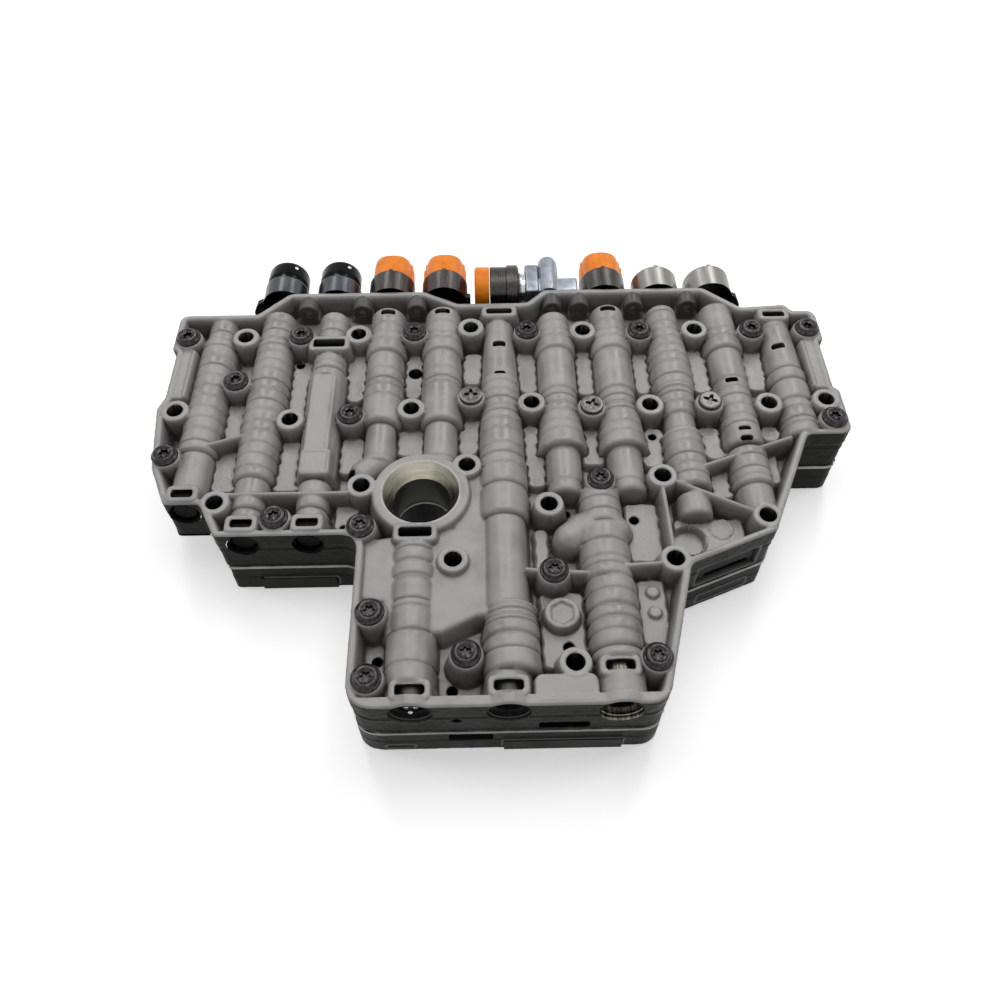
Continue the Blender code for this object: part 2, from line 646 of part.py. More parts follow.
def housing_cuts():
    """Every hole, pocket and bore of the upper casting."""
    low, high = UPPER_BASE - OVERSHOOT, DECK + OVERSHOOT
    cuts = []
    for x, y in hole_places():
        cuts.append(disc(x, y, HOLE_RADIUS, low, high, HOLE_SIDES))
    for x, y in screw_places():
        cuts.append(disc(x, y, SCREW_RADIUS + SCREW_CLEARANCE, low, high, SHANK_SIDES))
    for x, y in plug_screw_places():
        cuts.append(disc(x, y, PLUG_SCREW_RADIUS + SCREW_CLEARANCE, DECK - PLUG_SCREW_DEPTH, high, ROUND_SIDES))
    for number, offset, y, width, length in CLOSED_POCKETS:
        points = slot_points(column(number, offset), y * MM, width * MM, length * MM, 1.0 * MM)
        cuts.append(prism(points, DECK - BORE_DEPTH, high))
    for number, offset, y, width, length in NOTCHES:
        points = slot_points(column(number, offset), y * MM, width * MM, length * MM, 0.8 * MM)
        cuts.append(prism(points, DECK - BORE_DEPTH + 3 * MM, high))
    for x, y, radius in DRILLINGS:
        cuts.append(disc(x * MM, y * MM, radius * MM, DECK - WEB_DEPTH - DRILLING_DEPTH, high, SHANK_SIDES))
    x, y = main_bore_place()
    slope = (MAIN_CONE_RADIUS - MAIN_BORE_RADIUS) / MAIN_CONE_DEPTH
    profile = ((low, MAIN_BORE_RADIUS), (DECK - MAIN_CONE_DEPTH, MAIN_BORE_RADIUS),
               (DECK + MM, MAIN_CONE_RADIUS + slope * MM))
    cuts.append(revolve(profile, MAIN_SIDES, (0, 0, 1), (x, y, 0)))
    x, y = (value * MM for value in HEX_BOSS)
    cuts.append(disc(x, y, HEX_RECESS_RADIUS, DECK - 5.3 * MM, high, 6))
    x, y = (value * MM for value in ROUND_RECESS)
    cuts.append(disc(x, y, ROUND_RECESS_RADIUS, DECK - WEB_DEPTH - 1.6 * MM, high, MOUTH_SIDES))
    x0, x1 = (value * MM for value in WALL_SLOT)
    slot_low = UPPER_BASE + WALL_SLOT_RISE
    cuts.append(block(x0, FRONT_WALL - MM, x1, FRONT_WALL + WALL_SLOT_DEPTH, slot_low,
                      slot_low + WALL_SLOT_HEIGHT))
    for name, x, mouth, clip in valve_places():
        cuts += bore_cuts(x, mouth, clip)
    return cuts


def bore_cuts(x, mouth, clip):
    """The stepped bore of one valve train and the pocket of its retainer."""
    z = DECK - BORE_DEPTH
    plug, spring, spool = train_ends(clip)
    profile = [(mouth - 2 * MM, SEAT_RADIUS), (plug[1] + SEAT_GAP / 2, SEAT_RADIUS),
               (plug[1] + SEAT_GAP / 2, SPOOL_BORE_RADIUS), (spool[1] + SEAT_GAP, SPOOL_BORE_RADIUS)]
    cuts = [revolve(profile, ROUND_SIDES, (0, 1, 0), (x, 0, z))]
    if mouth == FRONT_WALL:
        cuts.append(along_y(x, mouth - 2 * MM, mouth + MOUTH_DEPTH, MOUTH_RADIUS, MOUTH_SIDES, z + 0.6 * MM))
    width, length = CLIP_WIDTH + 2 * POCKET_CLEARANCE, CLIP_THICK + 2 * POCKET_CLEARANCE
    cuts.append(prism(slot_points(x, clip, width, length, POCKET_CLEARANCE), z, DECK + OVERSHOOT))
    return cuts


def upper_valve_housing():
    corners = OUTLINE_BACK + OUTLINE_RIGHT + OUTLINE_LEFT + LOBE + OUTLINE_SIDE
    body = prism(rounded_outline(corners), UPPER_BASE, DECK)
    hollow = prism(rounded_outline(corners, RIM_WALL), DECK - FLOOR_DEPTH, DECK + OVERSHOOT)
    boolean(body, [hollow], "DIFFERENCE")
    boolean(body, housing_forms(), "UNION")
    boolean(body, housing_cuts(), "DIFFERENCE")
    return finish_object(body, "upper_valve_housing", cast_aluminium())


def through_cuts(low, high, screw_low):
    """Holes that pass the plate and the lower casting."""
    cuts = [disc(x, y, HOLE_RADIUS, low, high, HIDDEN_SIDES) for x, y in hole_places()]
    for x, y in screw_places():
        cuts.append(disc(x, y, SCREW_RADIUS + HIDDEN_CLEARANCE, screw_low, high, HIDDEN_SIDES))
    x, y = main_bore_place()
    cuts.append(disc(x, y, MAIN_BORE_RADIUS - 0.3 * MM, low, high, MAIN_SIDES))
    return cuts


def lower_corners():
    return OUTLINE_BACK + OUTLINE_RIGHT + OUTLINE_LEFT + LOWER_LOBE + OUTLINE_SIDE


def separator_plate():
    low = LOWER_HEIGHT + SEAT_GAP
    body = prism(rounded_outline(lower_corners()), low, low + PLATE_THICK)
    boolean(body, through_cuts(low - MM, low + PLATE_THICK + MM, low - MM), "DIFFERENCE")
    return finish_object(body, "separator_plate", sheet_steel())


def lower_valve_housing():
    body = prism(rounded_outline(lower_corners(), 0.4 * MM), 0, LOWER_HEIGHT)
    forms = []
    for (start, end), wall in ((FRONT_LEDGE, FRONT_WALL), (MID_LEDGE, MID_WALL)):
        forms.append(block(start * MM, wall - LEDGE_RISE, end * MM, wall + 3 * MM, 0, LEDGE_HEIGHT))
    boolean(body, forms, "UNION")
    cuts = through_cuts(-MM, LOWER_HEIGHT + MM, LOWER_HEIGHT - SCREW_DEPTH - SEAT_GAP)
    for x0, y0, x1, y1, width in CHANNELS:
        cuts.append(rib(x0 * MM, y0 * MM, x1 * MM, y1 * MM, -MM, CHANNEL_DEPTH, width * MM))
    start, end = FRONT_RECESS
    cuts.append(block(start * MM, FRONT_WALL - MM, end * MM, FRONT_WALL + RECESS_DEPTH,
                      RECESS_LOW, RECESS_LOW + RECESS_HEIGHT))
    boolean(body, cuts, "DIFFERENCE")
    return finish_object(body, "lower_valve_housing", cast_aluminium())


def flange_screw(number, x, y):
    """A flange screw with a tapered recess for its bit, its shank reaching into the lower casting."""
    seat = DECK + SEAT_GAP
    tip = LOWER_HEIGHT - SCREW_DEPTH
    top = seat + HEAD_HEIGHT
    profile = ((tip, SCREW_RADIUS), (seat, SCREW_RADIUS), (seat, FLANGE_RADIUS),
               (seat + FLANGE_THICK, FLANGE_RADIUS - 0.3 * MM), (top, HEAD_RADIUS),
               (top - SOCKET_DEPTH, SOCKET_RADIUS))
    body = revolve(profile, SHANK_SIDES, (0, 0, 1), (x, y, 0))
    return finish_object(body, f"flange_screw_{number:02d}", black_oxide())


def plug_screw(number, x, y):
    """A plug screw with a tapered recess, standing a little proud of its boss."""
    top = DECK + PLUG_SCREW_HEIGHT
    foot = DECK - PLUG_SCREW_DEPTH + SEAT_GAP
    profile = ((foot, PLUG_SCREW_RADIUS), (top, PLUG_SCREW_RADIUS), (top - SOCKET_DEPTH, SOCKET_RADIUS))
    body = revolve(profile, ROUND_SIDES, (0, 0, 1), (x, y, 0))
    return finish_object(body, f"plug_screw_{number}", dark_steel())


def end_plug(name, x, clip):
    """The plug of a bore with the sheet retainer that stands in its groove."""
    z = DECK - BORE_DEPTH
    plug, spring, spool = train_ends(clip)
    radius = SEAT_RADIUS - RUNNING_GAP
    profile = ((plug[0], radius - 0.6 * MM), (plug[0] + 0.6 * MM, radius), (plug[1], radius))
    body = revolve(profile, ROUND_SIDES, (0, 1, 0), (x, 0, z))
    half_width, half_thick = CLIP_WIDTH / 2, CLIP_THICK / 2
    clip_plate = block(x - half_width, clip - half_thick, x + half_width, clip + half_thick,
                       z + MM, DECK - CLIP_TOP_DEPTH)
    boolean(body, [clip_plate], "UNION")
    return finish_object(body, f"{name}_end_plug", turned_steel())


def spool_valve(name, x, clip):
    """A turned spool: lands on a thinner stem."""
    z = DECK - BORE_DEPTH
    plug, spring, (start, end) = train_ends(clip)
    land = SPOOL_BORE_RADIUS - RUNNING_GAP
    gap = (SPOOL_LENGTH - SPOOL_LANDS * LAND_LENGTH) / (SPOOL_LANDS - 1)
    profile = []
    for i in range(SPOOL_LANDS):
        first = start + i * (LAND_LENGTH + gap)
        if i:
            profile.append((first, SPOOL_STEM_RADIUS))
        profile += [(first, land), (first + LAND_LENGTH, land)]
        if i < SPOOL_LANDS - 1:
            profile.append((first + LAND_LENGTH, SPOOL_STEM_RADIUS))
    body = revolve(profile, ROUND_SIDES, (0, 1, 0), (x, 0, z))
    return finish_object(body, f"{name}_spool_valve", turned_steel())


def return_spring(name, x, clip):
    """A helical compression spring between the plug and the spool."""
    z = DECK - BORE_DEPTH
    plug, (start, end), spool = train_ends(clip)
    steps_per_turn, wire_sides = 6, 4
    count = round(SPRING_TURNS * steps_per_turn)
    coil = SPOOL_BORE_RADIUS - RUNNING_GAP - WIRE_RADIUS - 0.1 * MM
    rise = (end - start - 2 * WIRE_RADIUS) / count
    bm = bmesh.new()
    rings = []
    for i in range(count + 1):
        angle = 2 * math.pi * i / steps_per_turn
        outward = Vector((math.cos(angle), 0, math.sin(angle)))
        centre = Vector((x, start + WIRE_RADIUS + i * rise, z)) + outward * coil
        ring = []
        for j in range(wire_sides):
            turn = 2 * math.pi * j / wire_sides
            ring.append(bm.verts.new(centre + outward * WIRE_RADIUS * math.cos(turn)
                                     + Vector((0, WIRE_RADIUS * math.sin(turn), 0))))
        rings.append(ring)
    for first, second in zip(rings, rings[1:]):
        for j in range(wire_sides):
            k = (j + 1) % wire_sides
            bm.faces.new((first[j], first[k], second[k], second[j]))
    bm.faces.new(rings[0])
    bm.faces.new(rings[-1])
    return mesh_object(f"{name}_return_spring", bm, turned_steel())


def solenoid_can(number, x, end, radius, capped):
    """A drawn can along Y, open at the back where its cap goes in."""
    z = DECK - CAN_DEPTH
    start = BACK_WALL + SEAT_GAP
    profile = [(start, radius), (end, radius)]
    if capped:
        profile += [(end, radius - CAN_WALL), (end - CAP_SPIGOT - SEAT_GAP, radius - CAN_WALL)]
    body = revolve(profile, CAN_SIDES, (0, 1, 0), (x, 0, z))
    return finish_object(body, f"solenoid_can_{number}", dark_steel())


def solenoid_cap(number, x, start, end, radius, spigot, finish, lugs):
    """A moulded end cap with a spigot in the can and, on some, side lugs."""
    z = DECK - CAN_DEPTH
    profile = ((start - CAP_SPIGOT, spigot), (start + SEAT_GAP, spigot), (start + SEAT_GAP, radius),
               (end - CAP_EDGE, radius), (end, radius - CAP_EDGE))
    body = revolve(profile, CAN_SIDES, (0, 1, 0), (x, 0, z))
    forms = []
    for side in lugs:
        inner = x + side * (radius - 3 * MM)
        outer = x + side * (radius + 1.4 * MM)
        forms.append(block(min(inner, outer), start + SEAT_GAP + 0.2 * MM, max(inner, outer), CAP_LUG_END,
                           z - CAP_LUG_WIDTH / 2, z + CAP_LUG_WIDTH / 2))
    if forms:
        boolean(body, forms, "UNION")
    return finish_object(body, f"solenoid_cap_{number}", finish)


# Solenoids along the bores: number, column; the cap's style by number
SOLENOIDS = ((1, -4), (2, -3), (3, -2), (4, -1), (6, 2), (7, 3), (8, 4))
CAP_STYLE = {1: "dark", 2: "dark", 3: "orange", 4: "orange", 6: "orange"}
CAP_LUGS = {3: (1,), 4: (-1, 1), 6: (-1, 1)}


def can_radius(number):
    return DARK_CAN_RADIUS if CAP_STYLE.get(number) == "dark" else CAN_RADIUS


def solenoids():
    for number, place in SOLENOIDS:
        x = column(place)
        style = CAP_STYLE.get(number)
        radius = can_radius(number)
        spigot = radius - CAN_WALL - SEAT_GAP
        end = DARK_CAN_END if style == "dark" else CAN_END
        solenoid_can(number, x, end, radius, style is not None)
        if style == "dark":
            solenoid_cap(number, x, end, DARK_CAP_END, DARK_CAP_RADIUS, spigot, black_plastic(), ())
        if style == "orange":
            solenoid_cap(number, x, end, CAP_END, CAP_RADIUS, spigot, orange_plastic(), CAP_LUGS[number])


def cross_solenoid():
    """The solenoid that lies across the bores, with its cap at the left."""
    z = DECK - CAN_DEPTH
    cap_start = valve_block_start() - CROSS_CAN_LENGTH - CROSS_CAP_LENGTH - 2 * SEAT_GAP
    start = cap_start + CROSS_CAP_LENGTH + SEAT_GAP
    step = start + CROSS_CAN_LENGTH / 2
    end = start + CROSS_CAN_LENGTH
    radius = CAN_RADIUS - 0.2 * MM
    profile = ((start, radius - 0.8 * MM), (start + 0.4 * MM, radius), (step, radius), (step, radius + 0.9 * MM),
               (end - 0.6 * MM, radius + 0.9 * MM), (end, radius))
    body = revolve(profile, CAN_SIDES, (1, 0, 0), (0, CROSS_CAN_Y, z))
    finish_object(body, "solenoid_can_5", dark_steel())
    profile = ((cap_start, radius - 1.0 * MM), (cap_start + 1.0 * MM, radius),
               (cap_start + CROSS_CAP_LENGTH, radius))
    cap = revolve(profile, CAN_SIDES, (1, 0, 0), (0, CROSS_CAN_Y, z))
    finish_object(cap, "solenoid_cap_5", orange_plastic())


def bracket_gap():
    """Where the bracket's low strap starts and ends along X, clear of the cans beside it."""
    return (column(-1) + CAN_RADIUS + BRACKET_LEFT_LIP, column(2) - CAN_RADIUS - BRACKET_RIGHT_LIP)


def valve_block_start():
    """The left end of the bright casting, whose right end stands just inside the bracket's gap."""
    length = SPIGOT_LENGTH + VALVE_BLOCK_LENGTH + VALVE_COLUMN_WIDTH + VALVE_STUB_LENGTH
    return bracket_gap()[1] - 4 * SEAT_GAP - length


def bright_valve_block():
    """The bright casting that carries the cross solenoid: spigot, block, domed column and stub."""
    z = DECK - CAN_DEPTH
    front = BACK_WALL + SEAT_GAP
    start = valve_block_start()
    left = start + SPIGOT_LENGTH
    middle = left + VALVE_BLOCK_LENGTH
    right = middle + VALVE_COLUMN_WIDTH
    far = right + VALVE_STUB_LENGTH
    overlap = 0.5 * MM
    spigot = ((start, CAN_RADIUS - 4 * MM), (left + overlap, CAN_RADIUS - 4 * MM))
    body = revolve(spigot, CAN_SIDES, (1, 0, 0), (0, CROSS_CAN_Y, z))
    forms = [block(left, CROSS_CAN_Y - VALVE_BLOCK_REACH, middle + overlap, CROSS_CAN_Y + VALVE_BLOCK_REACH,
                   z - VALVE_LOW, DECK - 1.6 * MM),
             block(middle, front, far, max(front + VALVE_STUB_HEIGHT, CROSS_CAN_Y - VALVE_BLOCK_REACH / 4),
                   z - VALVE_LOW, DECK - 1.0 * MM)]
    radius = VALVE_COLUMN_WIDTH / 2
    dome = [(front, radius), (front + VALVE_COLUMN_HEIGHT, radius)]
    for i in range(1, 5):
        angle = i * math.pi / 10
        dome.append((front + VALVE_COLUMN_HEIGHT + radius * 1.3 * math.sin(angle), radius * math.cos(angle)))
    forms.append(revolve(dome, 20, (0, 1, 0), (middle + radius, 0, DECK - 4.6 * MM)))
    boolean(body, forms, "UNION")
    return finish_object(body, "bright_valve_block", bright_casting())


def retaining_bracket():
    """The black plate on the back wall, with a cradle for each can and a low strap in the middle."""
    front = BACK_WALL + SEAT_GAP
    top = DECK - BRACKET_TOP_DEPTH
    low = top - BRACKET_HEIGHT
    reach = column(4) + CAN_RADIUS + BRACKET_MARGIN
    inner_left, inner_right = bracket_gap()
    step = BRACKET_SHOULDER
    outline = ((-reach, low), (reach, low), (reach, top - step), (reach - step / 3, top - step / 3),
               (reach - step, top), (inner_right, top), (inner_right, low + BRACKET_STRAP),
               (inner_left, low + BRACKET_STRAP), (inner_left, top), (-reach + step, top),
               (-reach + step / 3, top - step / 3), (-reach, top - step))
    bm = bmesh.new()
    near = [bm.verts.new((x, front, z)) for x, z in outline]
    far = [bm.verts.new((x, front + BRACKET_THICK, z)) for x, z in outline]
    bm.faces.new(near)
    bm.faces.new(far)
    for i in range(len(outline)):
        j = (i + 1) % len(outline)
        bm.faces.new((near[i], near[j], far[j], far[i]))
    body = mesh_object("tool", bm)
    cuts = []
    for number, place in SOLENOIDS:
        cuts.append(along_y(column(place), front - MM, front + BRACKET_THICK + MM,
                            can_radius(number) + SEAT_GAP, CAN_SIDES, DECK - CAN_DEPTH))
    boolean(body, cuts, "DIFFERENCE")
    return finish_object(body, "solenoid_bracket", black_oxide())


def build():
    clear_scene()
    lower_valve_housing()
    separator_plate()
    upper_valve_housing()
    for number, (x, y) in enumerate(screw_places(), 1):
        flange_screw(number, x, y)
    for number, (x, y) in enumerate(plug_screw_places(), 1):
        plug_screw(number, x, y)
    for name, x, mouth, clip in valve_places():
        end_plug(name, x, clip)
        return_spring(name, x, clip)
        spool_valve(name, x, clip)
    solenoids()
    cross_solenoid()
    bright_valve_block()
    retaining_bracket()


build()
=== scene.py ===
"""Looks of the mechatronic unit: cast relief, machined bores, screws, solenoids, light and camera.

Places and sizes are in millimetres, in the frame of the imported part. They turn into metres where a mesh
is made.
"""
import math

import bmesh
import bpy
import numpy as np
from mathutils import Matrix, Vector


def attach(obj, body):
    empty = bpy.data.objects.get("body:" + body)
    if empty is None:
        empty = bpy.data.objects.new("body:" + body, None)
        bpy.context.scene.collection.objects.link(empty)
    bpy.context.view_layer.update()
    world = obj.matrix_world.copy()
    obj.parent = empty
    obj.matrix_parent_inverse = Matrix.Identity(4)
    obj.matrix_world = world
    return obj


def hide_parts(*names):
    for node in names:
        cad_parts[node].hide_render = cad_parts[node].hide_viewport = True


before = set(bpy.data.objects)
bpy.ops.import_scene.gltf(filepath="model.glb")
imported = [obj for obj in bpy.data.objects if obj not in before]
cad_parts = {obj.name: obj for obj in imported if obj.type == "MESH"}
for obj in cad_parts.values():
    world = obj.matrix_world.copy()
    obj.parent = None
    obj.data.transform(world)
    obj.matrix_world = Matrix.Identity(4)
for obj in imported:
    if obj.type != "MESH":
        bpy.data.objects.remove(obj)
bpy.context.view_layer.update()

MM = 0.001
ROOT_BODY = "valve_body"
CASTING = "cast_aluminium"
UPPER = ("upper_valve_housing",)
ACROSS = (1, 0, 0)
BACK = (0, 1, 0)
UP = (0, 0, 1)
WHOLE = (slice(None), slice(None))

# Stack and walls, as in the CAD
PITCH = 28.0
LOWER_TOP = 16.1
UPPER_BASE = 18.0
DECK = 43.0
BACK_WALL = 129.8
BACK_STEP = 114.5
BACK_NOTCH = 120.3
MID_WALL = -20.5
LOBE_WALL = -3.5
FRONT_WALL = -98.7
RIM = 3.0
FLOOR = -12.8
WEB_LEVEL = -8.6
WEB_GAP = 0.7
PLATEAU_LEVEL = -3.0
AXIS_LEVEL = -8.0
CAN_LEVEL = DECK - 10

# Grid of the relief
CELL = 0.48
WALL_CELL = 0.7
SNAP = 0.56 * CELL
GRID_BOX = (-162.5, -100.0, 162.5, 131.5)
DRAFT = 5.0
EDGE = 0.22

# Outline corners as column, offset from it, place along Y and fillet
OUTLINE_BACK = (
    (-5.5, -7.0, BACK_STEP, 5), (-4.5, 3.5, BACK_STEP, 3), (-3.5, -9.5, BACK_WALL, 6),
    (-1.5, 4.0, BACK_WALL, 6), (-0.5, -6.5, BACK_NOTCH, 5), (0.5, 0.5, BACK_NOTCH, 5),
    (0.5, 10.0, BACK_WALL, 6), (3.5, 8.5, BACK_WALL, 6), (4.5, -2.0, BACK_STEP, 4),
    (5.5, -7.0, BACK_STEP + 1.6, 4), (5.5, -4.5, 111.4, 2), (5.5, 7.0, 111.4, 6),
)
OUTLINE_RIGHT = (
    (5.5, 7.0, 91.0, 1), (5.5, 4.4, 89.0, 1), (5.5, 4.4, 59.0, 1),
    (5.5, 7.0, 56.0, 2), (5.5, 7.0, 30.0, 6), (5.0, 0.0, 30.0, 4),
    (4.0, 3.5, -22.5, 4), (2.5, 7.0, -38.0, 5), (2.0, 4.0, FRONT_WALL, 10),
)
OUTLINE_LEFT = (
    (-2.0, -6.0, FRONT_WALL, 12), (-2.0, -6.2, MID_WALL, 8), (-4.5, 3.0, MID_WALL, 3),
)
LOBE = ((-4.5, -5.8, LOBE_WALL, 3), (-5.5, 6.5, LOBE_WALL, 3), (-5.5, -2.4, 17.0, 6))
LOWER_LOBE = ((-4.5, 0.0, 4.0, 4), (-5.5, 0.0, 26.0, 4))
OUTLINE_SIDE = (
    (-5.5, -7.0, 52.0, 4), (-5.5, -4.4, 59.0, 1), (-5.5, -4.4, 89.0, 1), (-5.5, -7.0, 91.0, 1),
)

# Bore housings: place along X, then runs of back end, front end, radius at both, ring lines, strong lines
HOUSINGS = (
    (-139.6, ((113.5, 97.5, 7.2, 7.8, (104,), ()),
              (98.5, 26.5, 8.9, 9.4, (93, 86, 80, 73, 66, 59.5, 52.5, 46, 39, 32), ()),
              (27, -3, 8.0, 8.0, (), (4,)))),
    (-112, ((117, 97, 8.2, 8.9, (110, 104), ()), (97.5, 42, 9.3, 9.9, (93, 88, 82, 76, 69, 63, 56, 50), ()),
            (43, 11, 9.9, 8.9, (37, 30, 23.5, 16.5), ()), (12, -20, 7.6, 7.6, (), (-5,)))),
    (-84, ((117, 97, 7.4, 7.7, (110, 104), ()), (88, 76, 8.0, 8.5, (82.3,), (77.3,)),
           (77, 11, 9.1, 8.7, (), ()), (10, -20, 7.4, 7.4, (), (-5,)))),
    (-56.3, ((118, 100, 8.7, 9.0, (107.5,), ()), (101, 87, 9.8, 10.2, (95,), ()),
             (87.5, 69, 9.0, 9.2, (76,), ()), (69.5, 42, 9.6, 9.9, (65, 58.5), ()),
             (43, 20, 7.0, 7.2, (23.6,), ()))),
    (-28.3, ((118, 99, 9.0, 9.3, (107.5,), ()), (100, 87, 10.0, 10.3, (95,), ()),
             (87.5, 69, 9.3, 9.5, (75.5,), ()), (69.5, 42, 9.8, 10.1, (65.5,), ()),
             (43, 18, 7.6, 7.6, (22,), ()))),
    (0, ((110, 70, 7.2, 8.7, (), ()), (71.5, 47, 9.2, 9.5, (66, 60.5, 55.5, 50.5), ()),
         (47.5, 21, 9.8, 10.4, (42, 36, 27), ()), (21.5, -12, 10.9, 11.2, (15,), (4.5,)),
         (-11, -56, 9.4, 9.4, (), ()), (-83, -98, 9.4, 9.4, (), ()))),
    (1.7, ((-54, -61, 10.4, 10.8, (-56, -58.3), ()), (-60.6, -84, 11.3, 11.6, (-63, -75.5), (-69,)))),
    (28, ((114, 100, 8.0, 8.8, (107.5,), ()), (101, 87, 9.7, 10.3, (95.5,), ()),
          (87.5, 60.5, 9.2, 9.2, (), ()), (61, 52, 8.9, 8.8, (57,), ()),
          (52.5, 25.5, 9.2, 11.4, (46.8, 40, 34.5), ()), (26.5, 1, 7.9, 7.9, (7.3,), ()))),
    (56, ((118, 99.5, 8.6, 9.0, (107.5,), ()), (100.5, 86.6, 9.8, 10.3, (94.5,), ()),
          (87, 60.5, 9.4, 9.4, (), ()), (61, 51, 9.0, 8.8, (56,), ()),
          (51.5, 25, 9.3, 11.3, (47.3, 38.6, 32.7), ()), (26, 1, 7.9, 8.0, (6.8,), ()))),
    (84, ((118, 99.5, 7.8, 8.4, (113.6, 106), ()), (100, 87.4, 9.0, 9.7, (94,), ()),
          (88, 60, 10.0, 10.0, (82, 76.4, 68, 62), ()), (60.5, 44.5, 9.3, 8.4, (57, 51), ()),
          (46, 35, 7.3, 7.3, (), ()), (36, 2.7, 9.2, 9.3, (32.3, 27, 20, 14.5, 9.5), ()),
          (0, -12, 7.6, 7.6, (), ()))),
    (112, ((118, 99, 8.6, 8.9, (), ()), (100, 86, 9.5, 9.9, (94,), ()), (86.5, 66, 8.5, 8.6, (), ()),
           (66.5, 26, 8.7, 9.3, (60, 55, 48.5, 42.3, 37.7), ()), (24, 3, 9.2, 9.6, (18.6, 11.4, 6.8), ()),
           (3.5, -12, 8.2, 8.2, (), ()))),
    (140, ((106, 72, 7.7, 8.7, (102,), ()), (72, 52, 9.4, 9.2, (), (64.5,)),
           (52.5, 31, 8.6, 9.0, (46.8, 40.6, 37.2), ()))),
    (-38.3, ((-24, -42, 9.5, 9.9, (-27.5, -41), (-34,)), (-42, -66.5, 9.4, 9.2, (-52, -55.5), ()),
             (-66, -89, 10.0, 9.9, (-80.4,), ()), (-88.5, -98, 9.5, 9.5, (), ()))),
    (42.4, ((4, -16, 8.9, 9.8, (-3, -9.7), ()), (-16, -26, 10.0, 10.4, (), ()),
            (-25.5, -43.5, 10.9, 10.6, (-34.5, -38), ()))),
    (43.4, ((-43, -63, 10.6, 10.9, (-50,), (-57,)), (-62.5, -80, 10.9, 10.4, (-68.4,), (-75,)),
            (-79.5, -98, 9.8, 9.8, (), ()))),
)
# Turned ends of housings: start, end and radius
FEET = (
    (-56, 22, -63, 16, 6.6), (28.5, -21.0, 34.0, -16.5, 7.7), (34.0, -16.5, 44.0, -15.5, 7.9),
    (44.0, -15.5, 47.5, -18.0, 7.6),
)

# Screws, plug screws and mounting holes as column, offset from it, place along Y
SCREWS = (
    (-5.5, 0, 97.4), (-3.5, 0, 97.4), (-1.5, 0, 98.8), (0.5, 0, 98.8), (2.5, 0, 97.4),
    (4.5, 0, 97.0), (5.5, 0, 97.4), (-4.5, 0, 67.5), (-2.5, 0, 45.3), (-3.5, 0, -12.0),
    (-2.0, -5.0, -17.2), (-2.0, 1.6, -58.6), (-2.0, 2.0, -87.0), (-0.5, -2.2, -77.5),
    (0.5, 5.9, -40.8), (1.5, 0.8, 5.5), (2.0, 1.6, -80.4), (-5.5, 2.8, 22.8), (5.5, 0, 38.4),
)
PLUG_SCREWS = ((-0.5, 0, 55.4), (1.5, 0.5, 48.2), (3.5, 0, 49.6))
MOUNTING_HOLES = (
    (-4.5, 0, 98.2), (-2.5, 0, 99.2), (-0.5, 0, 102.8), (1.5, 0, 99.6), (3.5, 0, 99.0),
    (-5.5, 1.7, 50.4), (-3.5, 0, 44.0), (-1.5, 0, 49.4), (0.5, 0.5, 52.1), (2.5, 0, 49.4),
    (4.5, 0, 49.2), (5.5, -0.7, 50.9), (-2.0, -6.3, 5.1), (-0.5, -1.9, 15.6), (0.5, 5.6, -6.6),
    (2.5, 0.7, 7.7), (4.0, 1.1, -14.6), (-4.5, 0.7, -2.9), (-1.0, 6.3, -33.9), (2.5, 0.7, -35.4),
    (1.0, -2.1, -81.3),
)
HOLE_RADIUS = 3.8
HOLE_BOSS_RADIUS = 6.6
SCREW_BOSS_RADIUS = 6.7

# Retainer pockets of the open bores: place along X and Y, and the closed pockets with width and length
TRAINS = (
    ("left", -140, 1.8, LOBE_WALL), ("second", -112, -14.5, MID_WALL), ("third", -84, -14.5, MID_WALL),
    ("front_left", -37.5, -91.6, FRONT_WALL), ("front_middle", 0, -90.5, FRONT_WALL),
    ("front_right", 43, -83.2, FRONT_WALL),
)
POCKET_LENGTH = 4.2
# Mouths of the front and the side bores: radius, depth of its wide part, level, radius of the opening
FRONT_MOUTH = (8.3, 4.0, 35.6, 8.45)
SIDE_MOUTH = (6.5, 1.2, 35.0, 6.75)
CLOSED_POCKETS = (
    (0.4, 113.6, 13.0, 3.6), (139.4, 108.2, 11.0, 3.4), (-84.0, 92.6, 15.4, 5.2), (-37.8, -20.4, 14.0, 4.8),
)
# Slots in the crests of the housings: place along X and Y, width and length
NOTCHES = (
    (-56, 114.4, 7.4, 3.2), (-28.4, 114.2, 7.8, 3.2), (56, 114.6, 7.8, 3.2), (0, 91.2, 6.4, 3.6),
    (0, 71.0, 5.4, 2.2), (137.8, 86.4, 6.2, 3.4), (110.8, 64.0, 6.0, 3.2), (111.5, 33.2, 5.8, 2.2),
    (111.5, 27.6, 5.8, 2.4),
)
# Raised webs between the housings: place along X, front and back end
WEBS = (
    (-126, 40, 63), (-126, 10, 31), (-98, 52, 87), (-98, 10, 37), (-70, 63, 93), (-70, 19, 37),
    (-42, 64, 93), (-42, 29, 44), (-14, 73, 91), (-14, 29, 51), (14, 67, 92), (14, 10, 43),
    (42, 65, 92), (42, 22, 41), (70, 65, 91), (70, 20, 40), (98, 65, 91), (98, 24, 40),
    (98, 2, 15), (126, 66, 91), (126, 34, 40),
)
# Straight ribs: both ends
RIBS = (
    (-150.4, 60.5, -150.4, 89.5), (150.4, 60.5, 150.4, 89.5), (-133.5, 30, -118, 35.4),
    (-122, 1.7, -68, 1.7), (91, 13.5, 132, 28.5), (75, 5.5, 110, -13), (70, 4, 70.6, -34),
    (50, -38, 68, -37), (9, -39, 16, -40), (24, -40.5, 33, -41), (74, -37, 90, -31),
)
